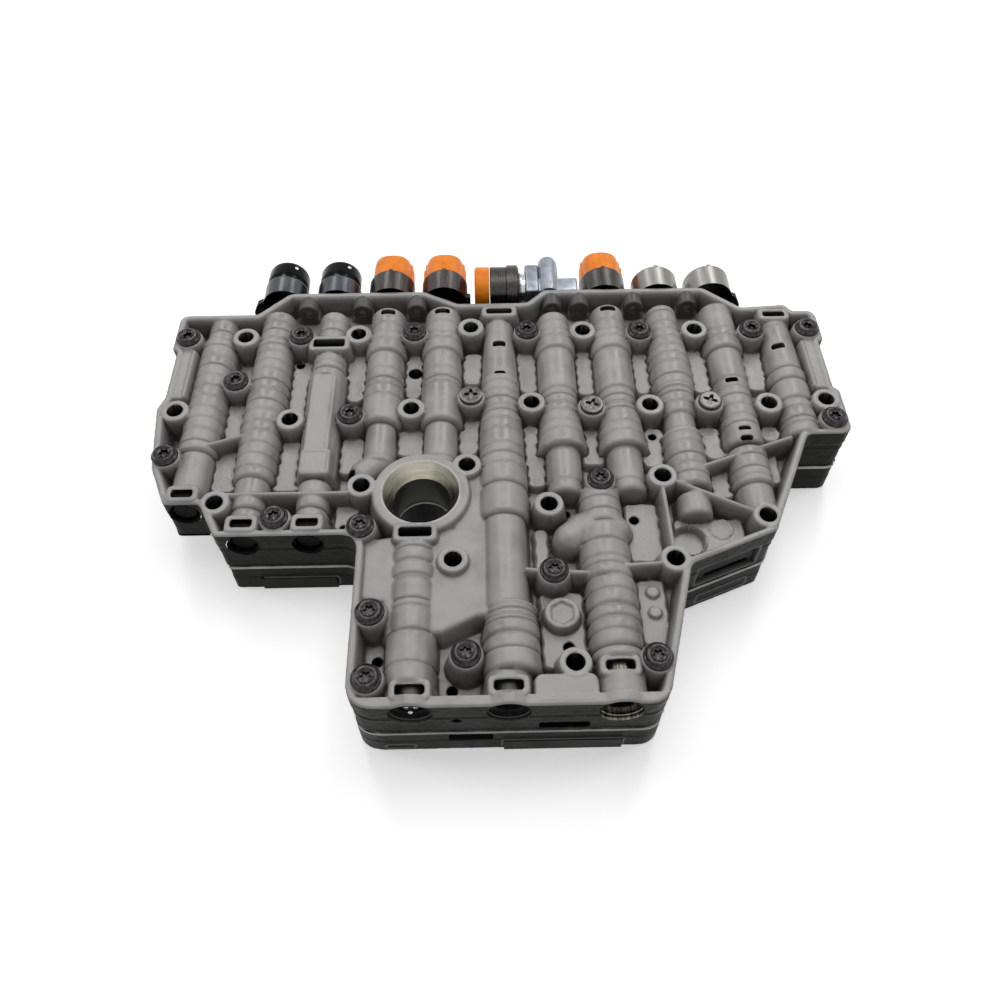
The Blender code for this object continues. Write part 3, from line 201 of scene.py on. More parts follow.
# Small holes: place and radius
DRILLINGS = (
    (-99, 86.5, 2.3), (-41.6, 79.5, 3.4), (57, -10.5, 2.2), (-52, -74, 2.3), (-68, 14, 2.2),
    (-22, -87, 2.2), (24.6, -71, 2.4), (-38, 24.5, 1.6), (27.6, -4, 2.1), (70.6, 36.5, 2.0),
    (92.4, 36.5, 1.8), (-70, -12, 1.8),
)
# Rough pads: low and high corner
LOW_PADS = (
    (53.5, -32, 67.5, -2), (14.0, -80, 31.5, -46), (54.5, -71, 66, -41), (74, -31, 104, -11),
    (-74, -13, -64, 0), (116, 8, 126, 25), (13.2, -38, 18.4, -14),
)
PLATEAU = (
    (-61, -22), (-22, -16), (-22, 20), (-8, 20), (-8, -12), (8, -12), (8, -57), (-12, -59),
    (-26, -66), (-48, -66), (-50, -52), (-61, -50),
)
LABEL_PAD = (-90.0, 12.0, -78.6, 72.0)
CODE_PAD = (-90.6, 11.6, -77.4, 25.6)
FRONT_PAD = (10.0, -97.0, 34.0, -86.0)
HEX_BOSS = (22.4, -58.0, 7.0, 5.3)
ROUND_RECESS = (79.5, -22.0, 6.8)
PINS = ((60.6, -47.2), (60.6, -56.6))
# Wall bosses: place along X and radius of the hole, then the radius, level and front face of them all
WALL_BOSSES = ((-98, 1.9), (-70, 1.9), (-42, 1.9), (28, 2.1), (42, 0), (70, 1.9), (98, 1.9))
WALL_BOSS = (5.2, -5.4, 119.5)
MAIN_BORE = (-36.0, 1.0)
MAIN_BOSS_RADIUS = 21.3
MAIN_CONE_RADIUS = 16.8
MAIN_BORE_RADIUS = 12.6
MAIN_CONE_DEPTH = 7.7
PARTING = 30.4
LEDGE_LINE = 8.5
CROSS_Y = 141.4
# Recess in the front of the lower casting: low, high and width
RECESS = (8.9, 14.5, 17.8)
# Raised frames on the lower casting: place, width, low and high end
LOWER_FRAMES = (
    (-44.0, FRONT_WALL, 12.0, 2.2, 6.4), (22.0, FRONT_WALL, 49.0, 2.4, 8.4),
    (-92.0, MID_WALL, 34.0, 2.4, 8.4), (133.0, 12.0, 30.0, 3.0, 12.0), (97.0, -30.0, 26.0, 3.0, 9.0),
)
SIDE_PADS = ((-159, 59, -150.4, 91), (150.4, 59, 159, 91))


def places(rows):
    """Places on X and Y from rows of column, offset and Y."""
    return [(number * PITCH + offset, y) for number, offset, y in rows]


def rounded_outline(corners, inset=0.0, steps=8):
    """Points of an outline with filleted corners, moved inwards by inset."""
    spots = [Vector((number * PITCH + offset, y)) for number, offset, y, radius in corners]
    radii = [radius for number, offset, y, radius in corners]
    count = len(spots)
    moved = []
    for i in range(count):
        first = (spots[i] - spots[i - 1]).normalized()
        second = (spots[(i + 1) % count] - spots[i]).normalized()
        inward_first, inward_second = Vector((first.y, -first.x)), Vector((second.y, -second.x))
        bend = first.x * second.y - first.y * second.x
        offset = (inward_first + inward_second) * (inset / (1 + inward_first.dot(inward_second)))
        radius = radii[i] + (inset if bend > 0 else -inset)
        moved.append((spots[i] + offset, max(radius, 0.5)))
    points = []
    for i in range(count):
        before, (here, radius), after = moved[i - 1][0], moved[i], moved[(i + 1) % count][0]
        first, second = (here - before).normalized(), (after - here).normalized()
        half = first.angle(second) / 2
        reach = min(radius * math.tan(half), (here - before).length / 2.1, (after - here).length / 2.1)
        start, end = here - first * reach, here + second * reach
        for step in range(steps + 1):
            t = step / steps
            point = start * (1 - t) ** 2 + here * 2 * t * (1 - t) + end * t ** 2
            points.append((point.x, point.y))
    return points


UPPER_OUTLINE = rounded_outline(OUTLINE_BACK + OUTLINE_RIGHT + OUTLINE_LEFT + LOBE + OUTLINE_SIDE)
LOWER_OUTLINE = rounded_outline(OUTLINE_BACK + OUTLINE_RIGHT + OUTLINE_LEFT + LOWER_LOBE + OUTLINE_SIDE)


# Distances, negative inside a shape

def polygon_distance(x, y, points):
    best = np.full(x.shape, 1e9)
    inside = np.zeros(x.shape, bool)
    for (ax, ay), (bx, by) in zip(points, points[1:] + points[:1]):
        ex, ey = bx - ax, by - ay
        length = ex * ex + ey * ey
        if length < 1e-12:
            continue
        wx, wy = x - ax, y - ay
        t = np.clip((wx * ex + wy * ey) / length, 0, 1)
        best = np.minimum(best, (wx - t * ex) ** 2 + (wy - t * ey) ** 2)
        if abs(ey) > 1e-12:
            inside ^= ((ay <= y) != (by <= y)) & (wx < wy * ex / ey)
    distance = np.sqrt(best)
    return np.where(inside, -distance, distance)


def circle_distance(x, y, cx, cy, radius):
    return np.hypot(x - cx, y - cy) - radius


def slot_distance(x, y, cx, cy, width, length, radius):
    """Distance to a rounded rectangle."""
    dx = np.abs(x - cx) - (width / 2 - radius)
    dy = np.abs(y - cy) - (length / 2 - radius)
    return np.hypot(np.maximum(dx, 0), np.maximum(dy, 0)) + np.minimum(np.maximum(dx, dy), 0) - radius


def box_distance(x, y, box, radius):
    """Distance to a rounded rectangle between its low and high corner."""
    x0, y0, x1, y1 = box
    return slot_distance(x, y, (x0 + x1) / 2, (y0 + y1) / 2, x1 - x0, y1 - y0, radius)


def line_distance(x, y, x0, y0, x1, y1, thick):
    """Distance to a straight rib with round ends."""
    ex, ey = x1 - x0, y1 - y0
    t = np.clip(((x - x0) * ex + (y - y0) * ey) / (ex * ex + ey * ey), 0, 1)
    return np.hypot(x - x0 - t * ex, y - y0 - t * ey) - thick / 2


def hexagon_distance(x, y, cx, cy, radius):
    dx, dy = np.abs(x - cx), np.abs(y - cy)
    return np.maximum(dx, dx * 0.5 + dy * math.sqrt(3) / 2) - radius * math.sqrt(3) / 2


def shoulder(distance, top, draft=DRAFT, edge=EDGE):
    """A flat top with a rounded edge and a drafted side outside it."""
    return top - draft * 0.5 * (distance + np.sqrt(distance ** 2 + edge ** 2))


def smooth_max(a, b, blend):
    mix = np.clip(0.5 + 0.5 * (a - b) / blend, 0, 1)
    return b + (a - b) * mix + blend * mix * (1 - mix)


def smooth_noise(x, y, size, seed):
    """Soft noise between -1 and 1 over places, with lumps of the given size."""
    rng = np.random.default_rng(seed)
    table = rng.uniform(-1, 1, (256, 256))
    u, v = x / size + 40.0, y / size + 40.0
    i, j = np.floor(u).astype(int), np.floor(v).astype(int)
    fu, fv = u - i, v - j
    fu, fv = fu * fu * (3 - 2 * fu), fv * fv * (3 - 2 * fv)
    corner = [[table[(j + b) % 256, (i + a) % 256] for a in (0, 1)] for b in (0, 1)]
    low = corner[0][0] * (1 - fu) + corner[0][1] * fu
    high = corner[1][0] * (1 - fu) + corner[1][1] * fu
    return low * (1 - fv) + high * fv


class Relief:
    """Heights over a grid whose points are drawn onto the crisp edges."""

    def __init__(self, xs, ys):
        self.x, self.y = np.meshgrid(xs, ys)
        self.z = np.full(self.x.shape, -1e3)
        # Lighter metal: machined places, and painted highlight on crests and frame edges.
        self.bare_and_highlight = np.zeros(self.x.shape)
        # Painted shade: how much darker the hollows and steep sides are drawn.
        self.cavity_shade = np.zeros(self.x.shape)
        # Painted shade: 1 where the inside of a hole or slot is drawn near-black.
        self.dark = np.zeros(self.x.shape)
        self.inside = np.ones(self.x.shape, bool)
        self.xs, self.ys = xs, ys

    def window(self, x0, y0, x1, y1, margin=6.0):
        """The part of the grid round a box."""
        rows = np.searchsorted(self.ys, (y0 - margin, y1 + margin))
        columns = np.searchsorted(self.xs, (x0 - margin, x1 + margin))
        return slice(*rows), slice(*columns)

    def snap(self, part, distance):
        """Draw the points near a shape's edge onto it."""
        x, y = self.x[part], self.y[part]
        here = distance(x, y)
        step = 0.01
        gx = (distance(x + step, y) - distance(x - step, y)) / (2 * step)
        gy = (distance(x, y + step) - distance(x, y - step)) / (2 * step)
        length = np.maximum(np.hypot(gx, gy), 1e-6)
        near = np.abs(here) < SNAP
        self.x[part] = np.where(near, x - here * gx / length, x)
        self.y[part] = np.where(near, y - here * gy / length, y)

    def rise(self, part, height, blend=0.8):
        self.z[part] = smooth_max(height, self.z[part], blend)

    def sink(self, part, distance, depth, chamfer=0.0, dark=True):
        """Cut a crisp hole, with its edge broken, and paint its inside near-black as shade where dark is
        asked for.
        """
        z = self.z[part]
        if chamfer:
            z = z - chamfer * np.clip(1 - distance / chamfer, 0, 1) * (distance > -SNAP * 0.2)
        self.z[part] = np.where(distance < -0.02, np.minimum(z, depth), z)
        if dark:
            self.dark[part] = np.where(distance < -0.02, 1.0, self.dark[part])

    def mark(self, part, inside, value=1.0):
        """Say how far a place is machined free of its cast skin."""
        self.bare_and_highlight[part] = np.where(inside, value, self.bare_and_highlight[part])

    def disc(self, x, y, reach, radius, top, draft, blend, edge=EDGE):
        """Raise a round boss."""
        part = self.window(x - reach, y - reach, x + reach, y + reach)
        distance = circle_distance(self.x[part], self.y[part], x, y, radius)
        self.rise(part, shoulder(distance, top, draft, edge), blend)
        return part, distance

    def pad(self, box, radius, top, blend):
        """Raise a flat pad."""
        part = self.window(*box)
        self.rise(part, shoulder(box_distance(self.x[part], self.y[part], box, radius), top), blend)

    def values(self, used):
        """What the material reads at the points that are used."""
        return [(key, getattr(self, key).ravel()[used]) for key in ("bare_and_highlight", "cavity_shade", "dark")]


def box_mean(values, reach):
    """Mean over a square of the given reach, in grid points."""
    total = np.cumsum(np.cumsum(np.pad(values, reach, mode="edge"), 0), 1)
    total = np.pad(total, ((1, 0), (1, 0)))
    size = 2 * reach + 1
    total = total[size:, size:] - total[:-size, size:] - total[size:, :-size] + total[:-size, :-size]
    return total / size ** 2


def ring_profile(y, lines, strong):
    """Change of a housing's radius at its ring lines."""
    change = np.zeros_like(y)
    for group, depth, width in ((lines, 0.75, 0.5), (strong, 1.5, 0.8)):
        for line in group:
            change = np.minimum(change, -depth * np.exp(-np.abs(y - line) / width))
    return change


def housing_radius(y, run):
    """Radius of one run of a bore housing, and how far inside its ends a place is."""
    back, front, back_radius, front_radius, lines, strong = run
    span = back - front
    round_length = min(2.4 if span > 9 else 1.5, span / 3)
    from_end = np.minimum(back - y, y - front)
    into = np.clip(1 - from_end / round_length, 0, 1)
    along = np.clip((back - y) / span, 0, 1)
    radius = back_radius + (front_radius - back_radius) * along + ring_profile(y, lines, strong)
    return radius - round_length * 0.8 * (1 - np.sqrt(1 - into ** 2)), from_end


def housing_height(x, y, place, run):
    """Height of one run of a bore housing."""
    section, from_end = housing_radius(y, run)
    side = np.abs(x - place)
    arch = np.sqrt(np.maximum(section ** 2 - side ** 2, 0))
    height = AXIS_LEVEL + arch - DRAFT * np.maximum(side - section, 0)
    return height - DRAFT * np.maximum(-from_end, 0)


def housing_width(y, place):
    """Half width of the housing at a place, where there is one."""
    width = np.full_like(y, 4.0)
    for here, runs in HOUSINGS:
        if abs(here - place) < 2:
            for run in runs:
                radius, from_end = housing_radius(y, run)
                width = np.where(from_end > 0, np.maximum(width, radius), width)
    return width


def web_distance(x, y, place, front, back):
    """Distance to a web, whose sides follow the housings beside it."""
    left = place - PITCH / 2 + housing_width(y, place - PITCH / 2) + WEB_GAP
    right = place + PITCH / 2 - housing_width(y, place + PITCH / 2) - WEB_GAP
    wave = 0.35 * np.sin(y * 2 * math.pi / 6.5 + place)
    dx = np.maximum(left - x, x - right) + wave + 3.0
    dy = np.maximum(front - y, y - back) + 3.0
    return np.hypot(np.maximum(dx, 0), np.maximum(dy, 0)) + np.minimum(np.maximum(dx, dy), 0) - 3.0


def mouth_arch(x):
    """How far the rim stands over the deck above the front mouths."""
    height = np.zeros_like(x)
    for name, place, y, wall in TRAINS:
        if wall == FRONT_WALL:
            arch = np.sqrt(np.maximum(9.8 ** 2 - (x - place) ** 2, 0)) - 7.4
            height = smooth_max(arch, height, 0.8)
    return height


def retainer_pockets():
    """Place, width and length of the retainer pocket of each open bore."""
    return [(x, y, 11.4 if wall == FRONT_WALL else 9.4, POCKET_LENGTH) for name, x, y, wall in TRAINS]


def round_hole(x, y, radius, reach, depth, chamfer=0.3, dark=True):
    """A hole's distance, box, depth and chamfer, and whether its inside is painted near-black as shade."""
    box = (x - reach, y - reach, x + reach, y + reach)
    return lambda u, v: circle_distance(u, v, x, y, radius), box, depth, chamfer, dark


def slot_hole(x, y, width, length, radius, depth):
    box = (x - width, y - width, x + width, y + width)
    return lambda u, v: slot_distance(u, v, x, y, width, length, radius), box, depth, 0.3, True


def hole_list():
    """Every crisp hole."""
    holes = [round_hole(x, y, HOLE_RADIUS, 4, -24.0, 0.25) for x, y in places(MOUNTING_HOLES)]
    for rows, radius, depth in ((CLOSED_POCKETS, 1.0, -9.0), (retainer_pockets(), 1.2, -9.5),
                                (NOTCHES, 0.9, -7.0)):
        holes += [slot_hole(*row, radius, depth) for row in rows]
    holes += [round_hole(x, y, radius, 4, -22.0) for x, y, radius in DRILLINGS]
    x, y, radius, recess = HEX_BOSS
    holes.append((lambda u, v: hexagon_distance(u, v, x, y, recess), (x - 6, y - 6, x + 6, y + 6), -4.6,
                  0.3, False))
    holes.append(round_hole(*ROUND_RECESS, 7, -11.6, 0.3, False))
    return holes


def rough_pad(relief, part, distance, sand):
    """A low sandy pad with a thin raised edge."""
    lip = 0.25 * np.exp(-((distance + 0.7) / 0.45) ** 2)
    relief.rise(part, shoulder(distance, WEB_LEVEL + sand[part] + lip, 4.0, 0.4), 0.6)


def lay_floor(relief, lumps):
    """Floor between the housings, with its webs and rough pads."""
    x, y = relief.x, relief.y
    relief.z = FLOOR + 0.25 * lumps + 0.08 * smooth_noise(x, y, 1.3, 3)
    sand = 0.03 * smooth_noise(x, y, 1.3, 5) + 0.035 * smooth_noise(x, y, 0.7, 6)
    for place, front, back in WEBS:
        part = relief.window(place - 11, front, place + 11, back)
        rough_pad(relief, part, web_distance(x[part], y[part], place, front - 1.5, back + 1.5), sand)
    for box in LOW_PADS:
        part = relief.window(*box)
        u, v = x[part], y[part]
        distance = box_distance(u, v, box, 2.5) + 0.2 * np.sin(u * 0.9) + 0.2 * np.sin(v * 0.8)
        rough_pad(relief, part, distance, sand)


def lay_housings(relief):
    """The ribbed bore housings and their turned ends."""
    x, y = relief.x, relief.y
    for place, runs in HOUSINGS:
        for run in runs:
            part = relief.window(place - run[3], run[1], place + run[3], run[0])
            relief.rise(part, housing_height(x[part], y[part], place, run), 0.5)
    for x0, y0, x1, y1, radius in FEET:
        part = relief.window(min(x0, x1) - radius, min(y0, y1) - radius, max(x0, x1) + radius,
                             max(y0, y1) + radius)
        side = line_distance(x[part], y[part], x0, y0, x1, y1, 0)
        arch = np.sqrt(np.maximum(radius ** 2 - side ** 2, 0)) - DRAFT * np.maximum(side - radius, 0)
        relief.rise(part, AXIS_LEVEL + arch, 2.0)


def lay_pads(relief, lumps):
    """Plateau round the middle housing, ribs and pads."""
    x, y = relief.x, relief.y
    part = relief.window(-62, -67, 10, 21)
    distance = polygon_distance(x[part], y[part], list(PLATEAU))
    relief.rise(part, shoulder(distance, PLATEAU_LEVEL + 0.05 * lumps[part], 3.5, 0.8), 1.0)
    for x0, y0, x1, y1 in RIBS:
        part = relief.window(min(x0, x1), min(y0, y1), max(x0, x1), max(y0, y1))
        distance = line_distance(x[part], y[part], x0, y0, x1, y1, 2.0)
        relief.rise(part, shoulder(distance, -0.1, 6.0, 0.4), 1.4)
    for box, level in ((LABEL_PAD, 0.2), (CODE_PAD, 0.55)):
        part = relief.window(*box)
        distance = box_distance(x[part], y[part], box, 1.5)
        relief.z[part] = np.where(distance < 0, np.minimum(relief.z[part], level), relief.z[part])
        relief.rise(part, shoulder(distance, level, 4.0, 0.3), 0.3)
    relief.z[part] -= 0.4 * np.clip(0.5 - (distance + 1.3) / 0.5, 0, 1)
    relief.pad(FRONT_PAD, 3.0, 0.0, 0.6)
    for box in SIDE_PADS:
        relief.pad(box, 1.0, -0.8, 0.3)


def lay_rim(relief, edge):
    """Rim, bosses and the frames of the pockets."""
    x, y = relief.x, relief.y
    relief.rise(WHOLE, shoulder(-edge - RIM, 0.0, 6.0, 0.3), 1.2)
    for u0, v0 in places(MOUNTING_HOLES):
        part, distance = relief.disc(u0, v0, 7, HOLE_BOSS_RADIUS - 0.2, 0.1, 6.0, 0.9)
        relief.mark(part, (distance < -0.25) & (relief.z[part] > -0.1), 0.15)
    for u0, v0 in places(SCREWS + PLUG_SCREWS):
        relief.disc(u0, v0, 7, SCREW_BOSS_RADIUS - 0.2, 0.5, 6.0, 0.9)
    relief.disc(*MAIN_BORE, 22, MAIN_BOSS_RADIUS, 0.1, 5.0, 1.2, 0.4)
    radius, level, front = WALL_BOSS
    for place, hole in WALL_BOSSES:
        part = relief.window(place - radius, front, place + radius, BACK_WALL - 2)
        side = np.abs(x[part] - place)
        inner = radius - 0.3
        arch = level + np.sqrt(np.maximum(inner ** 2 - side ** 2, 0)) - 8 * np.maximum(side - inner, 0)
        behind = np.maximum(front + 1.5 - y[part], 0) + np.maximum(y[part] - BACK_WALL + 2, 0)
        relief.rise(part, arch - 12 * behind, 0.5)
    for u0, v0, width, length in retainer_pockets() + list(CLOSED_POCKETS):
        part = relief.window(u0 - width, v0 - length, u0 + width, v0 + length)
        distance = slot_distance(x[part], y[part], u0, v0, width + 4.4, length + 4.4, 2.6)
        relief.rise(part, shoulder(distance, 0.8), 0.8)
    part = relief.window(-60, FRONT_WALL, 62, FRONT_WALL + 6)
    behind = np.maximum(y[part] - FRONT_WALL - 4.6, 0)
    relief.rise(part, mouth_arch(x[part]) - 5 * behind - 400 * (edge[part] < -RIM - 8), 0.6)
    near = np.clip(1 + edge / 1.1, 0, 1)
    relief.z -= 0.8 * (1 - np.sqrt(np.maximum(1 - near ** 2, 0)))


def lay_details(relief):
    """Small standing details."""
    relief.disc(*HEX_BOSS[:2], 8, HEX_BOSS[2], -3.4, 5.0, 0.6)
    u0, v0, radius = ROUND_RECESS
    for u0, v0, radius, height in ((u0, v0, radius + 0.6, 1.3), (94.0, -16.0, 5.0, 0.5)):
        part = relief.window(u0 - 9, v0 - 9, u0 + 9, v0 + 9)
        distance = np.abs(circle_distance(relief.x[part], relief.y[part], u0, v0, radius)) - 0.45
        relief.z[part] = relief.z[part] + height * np.clip(-distance / 0.4, 0, 1)
    for u0, v0 in PINS:
        relief.disc(u0, v0, 3, 2.6, -6.8, 5.0, 0.4)


def shade_and_bright_crests(relief, edge):
    """Painted shade gathers in the hollows and on the steep sides, and the crests are painted lighter, partly
    as worn metal and partly as painted highlight.
    """
    near = np.clip((box_mean(relief.z, 2) - relief.z) / 1.2, 0, 1)
    wide = np.clip((box_mean(relief.z, 9) - relief.z - 0.8) / 6.0, 0, 1)
    fall, across = np.gradient(relief.z, CELL)
    steep = np.clip((np.hypot(fall, across) - 1.4) / 4.0, 0, 1) * (edge < -0.6)
    # Painted shade: darker in the hollows and on the steep sides.
    relief.cavity_shade = np.clip(0.5 * near + 0.5 * wide + 0.4 * steep, 0, 0.8)
    # Crests and edges painted lighter: partly worn metal, partly painted highlight.
    ridge = np.clip((relief.z - box_mean(relief.z, 1)) / 0.22 - 0.5, 0, 1) * (edge < -0.5)
    relief.bare_and_highlight = np.maximum(relief.bare_and_highlight, 0.4 * ridge)


def build_relief():
    """The ribbed face of the upper casting."""
    relief = Relief(np.arange(GRID_BOX[0], GRID_BOX[2], CELL), np.arange(GRID_BOX[1], GRID_BOX[3], CELL))
    holes = hole_list()
    relief.snap(WHOLE, lambda u, v: polygon_distance(u, v, UPPER_OUTLINE))
    for distance, box, depth, chamfer, dark in holes:
        relief.snap(relief.window(*box, margin=1), distance)
    bore_x, bore_y = MAIN_BORE
    bore_part = relief.window(bore_x - 22, bore_y - 22, bore_x + 22, bore_y + 22)
    relief.snap(bore_part, lambda u, v: circle_distance(u, v, bore_x, bore_y, MAIN_CONE_RADIUS))
    x, y = relief.x, relief.y
    edge = polygon_distance(x, y, UPPER_OUTLINE)
    relief.inside = edge < 1e-4
    lumps = smooth_noise(x, y, 5.0, 4)
    lay_floor(relief, lumps)
    lay_housings(relief)
    lay_pads(relief, lumps)
    lay_rim(relief, edge)
    lay_details(relief)
    shade_and_bright_crests(relief, edge)
    for distance, box, depth, chamfer, dark in holes:
        part = relief.window(*box, margin=1)
        relief.sink(part, distance(x[part], y[part]), depth, chamfer, dark)
    radial = np.hypot(x[bore_part] - bore_x, y[bore_part] - bore_y)
    relief.mark(bore_part, radial < MAIN_CONE_RADIUS + 0.7)
    relief.inside[bore_part] &= radial > MAIN_CONE_RADIUS - 1e-3
    return relief


def relief_triangles(relief):
    """Triangles of the grid, with each quad split along its flatter diagonal."""
    rows, columns = relief.z.shape
    index = np.arange(rows * columns).reshape(rows, columns)
    a, b = index[:-1, :-1].ravel(), index[:-1, 1:].ravel()
    c, d = index[1:, 1:].ravel(), index[1:, :-1].ravel()
    height = np.where(relief.inside, relief.z, -200.0).ravel()
    first = np.abs(height[a] - height[c]) <= np.abs(height[b] - height[d])
    one = np.where(first[:, None], np.stack((a, b, c), 1), np.stack((a, b, d), 1))
    two = np.where(first[:, None], np.stack((a, c, d), 1), np.stack((b, c, d), 1))
    triangles = np.concatenate((one, two))
    keep = relief.inside.ravel()[triangles].all(axis=1)
    return triangles[keep]


# Materials

def new_material(name):
    material = bpy.data.materials.new(name)
    material.use_nodes = True
    nodes, links = material.node_tree.nodes, material.node_tree.links
    return material, nodes, links, nodes["Principled BSDF"]


def noise_node(nodes, links, scale, detail=4.0, stretch=None, coordinates=None):
    """Noise over the object's own coordinates."""
    if coordinates is None:
        coordinates = nodes.new("ShaderNodeTexCoord").outputs["Object"]
    if stretch is not None:
        mapping = nodes.new("ShaderNodeMapping")
        mapping.inputs["Scale"].default_value = stretch
        links.new(coordinates, mapping.inputs["Vector"])
        coordinates = mapping.outputs["Vector"]
    noise = nodes.new("ShaderNodeTexNoise")
    noise.inputs["Scale"].default_value = scale
    noise.inputs["Detail"].default_value = detail
    links.new(coordinates, noise.inputs["Vector"])
    return noise.outputs["Fac"]


def ramp_node(nodes, links, source, stops):
    """A colour ramp from place and colour stops."""
    ramp = nodes.new("ShaderNodeValToRGB")
    elements = ramp.color_ramp.elements
    while len(elements) < len(stops):
        elements.new(0.5)
    for element, (place, colour) in zip(elements, stops):
        element.position = place
        element.color = (*colour, 1.0)
    links.new(source, ramp.inputs["Fac"])
    return ramp.outputs["Color"]


def map_range(nodes, links, source, low, high, start, end):
    node = nodes.new("ShaderNodeMapRange")
    node.inputs["From Min"].default_value = low
    node.inputs["From Max"].default_value = high
    node.inputs["To Min"].default_value = start
    node.inputs["To Max"].default_value = end
    links.new(source, node.inputs["Value"])
    return node.outputs["Result"]


def mix_colour(nodes, links, factor, first, second, mode="MIX"):
    node = nodes.new("ShaderNodeMix")
    node.data_type = "RGBA"
    node.blend_type = mode
    for socket, value in ((node.inputs[0], factor), (node.inputs[6], first), (node.inputs[7], second)):
        if isinstance(value, bpy.types.NodeSocket):
            links.new(value, socket)
        elif isinstance(value, tuple):
            socket.default_value = (*value, 1.0)
        else:
            socket.default_value = value
    return node.outputs[2]


def bump_node(nodes, links, source, strength, distance, shader):
    bump = nodes.new("ShaderNodeBump")
    bump.inputs["Strength"].default_value = strength
    bump.inputs["Distance"].default_value = distance
    links.new(source, bump.inputs["Height"])
    links.new(bump.outputs["Normal"], shader.inputs["Normal"])


def attribute_node(nodes, name):
    node = nodes.new("ShaderNodeAttribute")
    node.attribute_name = name
    return node.outputs["Fac"]


def cast_material(name, dark, light, roughness, metallic, specular):
    """Die-cast skin: grain, soft stains, painted shade in the hollows, on steep sides and near-black inside
    holes, and lighter metal where machined and as painted highlight on crests.
    """
    material, nodes, links, shader = new_material(name)
    stains = noise_node(nodes, links, 70.0, 9.0)
    colour = ramp_node(nodes, links, stains, ((0.3, dark), (0.7, light)))
    # Painted shade: the colour darkens in the hollows and on the steep sides.
    cavity_shade_colour = tuple(0.16 * value for value in dark)
    colour = mix_colour(nodes, links, attribute_node(nodes, "cavity_shade"), colour, cavity_shade_colour)
    # Lighter metal where machined, and painted highlight on crests and frame edges.
    fine = noise_node(nodes, links, 1400.0, 3.0)
    machined = ramp_node(nodes, links, fine, ((0.3, (0.4, 0.394, 0.38)), (0.7, (0.5, 0.49, 0.475))))
    colour = mix_colour(nodes, links, attribute_node(nodes, "bare_and_highlight"), colour, machined)
    # Painted shade: the insides of holes and slots go near-black and lose their metal.
    shade = map_range(nodes, links, attribute_node(nodes, "dark"), 0.005, 0.025, 0.0, 1.0)
    colour = mix_colour(nodes, links, shade, colour, (0.006, 0.006, 0.006))
    links.new(colour, shader.inputs["Base Color"])
    shader.inputs["Specular IOR Level"].default_value = specular
    links.new(map_range(nodes, links, shade, 0.0, 1.0, metallic, 0.0), shader.inputs["Metallic"])
    rough = map_range(nodes, links, stains, 0.35, 0.65, roughness - 0.08, roughness + 0.12)
    links.new(rough, shader.inputs["Roughness"])
    grain = noise_node(nodes, links, 900.0, 4.0)
    bump_node(nodes, links, grain, 0.3, 0.0003, shader)
    return material


def metal_material(name, dark, light, roughness, metallic=1.0, stretch=None, scale=500.0, bump=0.15):
    """Drawn, turned or rolled metal: streaks along the given stretch."""
    material, nodes, links, shader = new_material(name)
    streaks = noise_node(nodes, links, scale, 5.0, stretch)
    links.new(ramp_node(nodes, links, streaks, ((0.3, dark), (0.7, light))), shader.inputs["Base Color"])
    shader.inputs["Metallic"].default_value = metallic
    links.new(map_range(nodes, links, streaks, 0.3, 0.7, roughness - 0.05, roughness + 0.07),
              shader.inputs["Roughness"])
    bump_node(nodes, links, streaks, bump, 0.0001, shader)
    return material


def plastic_material(name, dark, light, roughness, bump, specular):
    """Moulded plastic: slight mottling and a fine texture."""
    material, nodes, links, shader = new_material(name)
    mottle = noise_node(nodes, links, 160.0, 4.0)
    links.new(ramp_node(nodes, links, mottle, ((0.3, dark), (0.7, light))), shader.inputs["Base Color"])
    links.new(map_range(nodes, links, mottle, 0.3, 0.7, roughness - 0.04, roughness + 0.06),
              shader.inputs["Roughness"])
    shader.inputs["Specular IOR Level"].default_value = specular
    bump_node(nodes, links, noise_node(nodes, links, 1800.0, 3.0), bump, 0.0001, shader)
    return material


CAST = cast_material("cast_skin", (0.262, 0.253, 0.243), (0.37, 0.359, 0.345), 0.36, 0.12, 0.3)
# Side walls: a darker copy of the cast skin, painted shade for faces the light does not reach.
SHADED_WALL = cast_material("shaded_cast_wall", (0.02, 0.0205, 0.017), (0.04, 0.041, 0.035), 0.42, 0.0, 0.06)
BORE = metal_material("machined_bore", (0.34, 0.325, 0.275), (0.52, 0.5, 0.44), 0.25, 1.0, (1, 1, 12),
                      120.0, 0.04)
BORE_SHADE = metal_material("bore_shade", (0.035, 0.035, 0.033), (0.07, 0.07, 0.065), 0.4, 0.7, (1, 1, 8),
                            300.0)
SCREW = metal_material("blackened_screw", (0.018, 0.017, 0.017), (0.06, 0.057, 0.056), 0.22, 0.9, None,
                       700.0, 0.08)
DARK_STEEL = metal_material("dark_steel", (0.06, 0.056, 0.05), (0.13, 0.125, 0.115), 0.34, 0.9, None, 600.0)
BROWN_STEEL = metal_material("brown_steel", (0.02, 0.012, 0.008), (0.05, 0.028, 0.02), 0.4, 0.6, None,
                             300.0)
DRAWN = (6, 0.6, 6)
DARK_CAN = metal_material("dark_can", (0.045, 0.041, 0.039), (0.075, 0.07, 0.066), 0.27, 0.9, DRAWN,
                          120.0, 0.03)
CAN = metal_material("drawn_can", (0.21, 0.2, 0.19), (0.26, 0.248, 0.236), 0.32, 0.95, DRAWN, 120.0, 0.04)
BLUE_CAN = metal_material("blue_can", (0.05, 0.053, 0.06), (0.09, 0.094, 0.103), 0.28, 0.9, DRAWN,
                          120.0, 0.04)
SILVER = metal_material("bright_casting", (0.2, 0.217, 0.243), (0.31, 0.33, 0.365), 0.32, 0.9, None, 300.0)
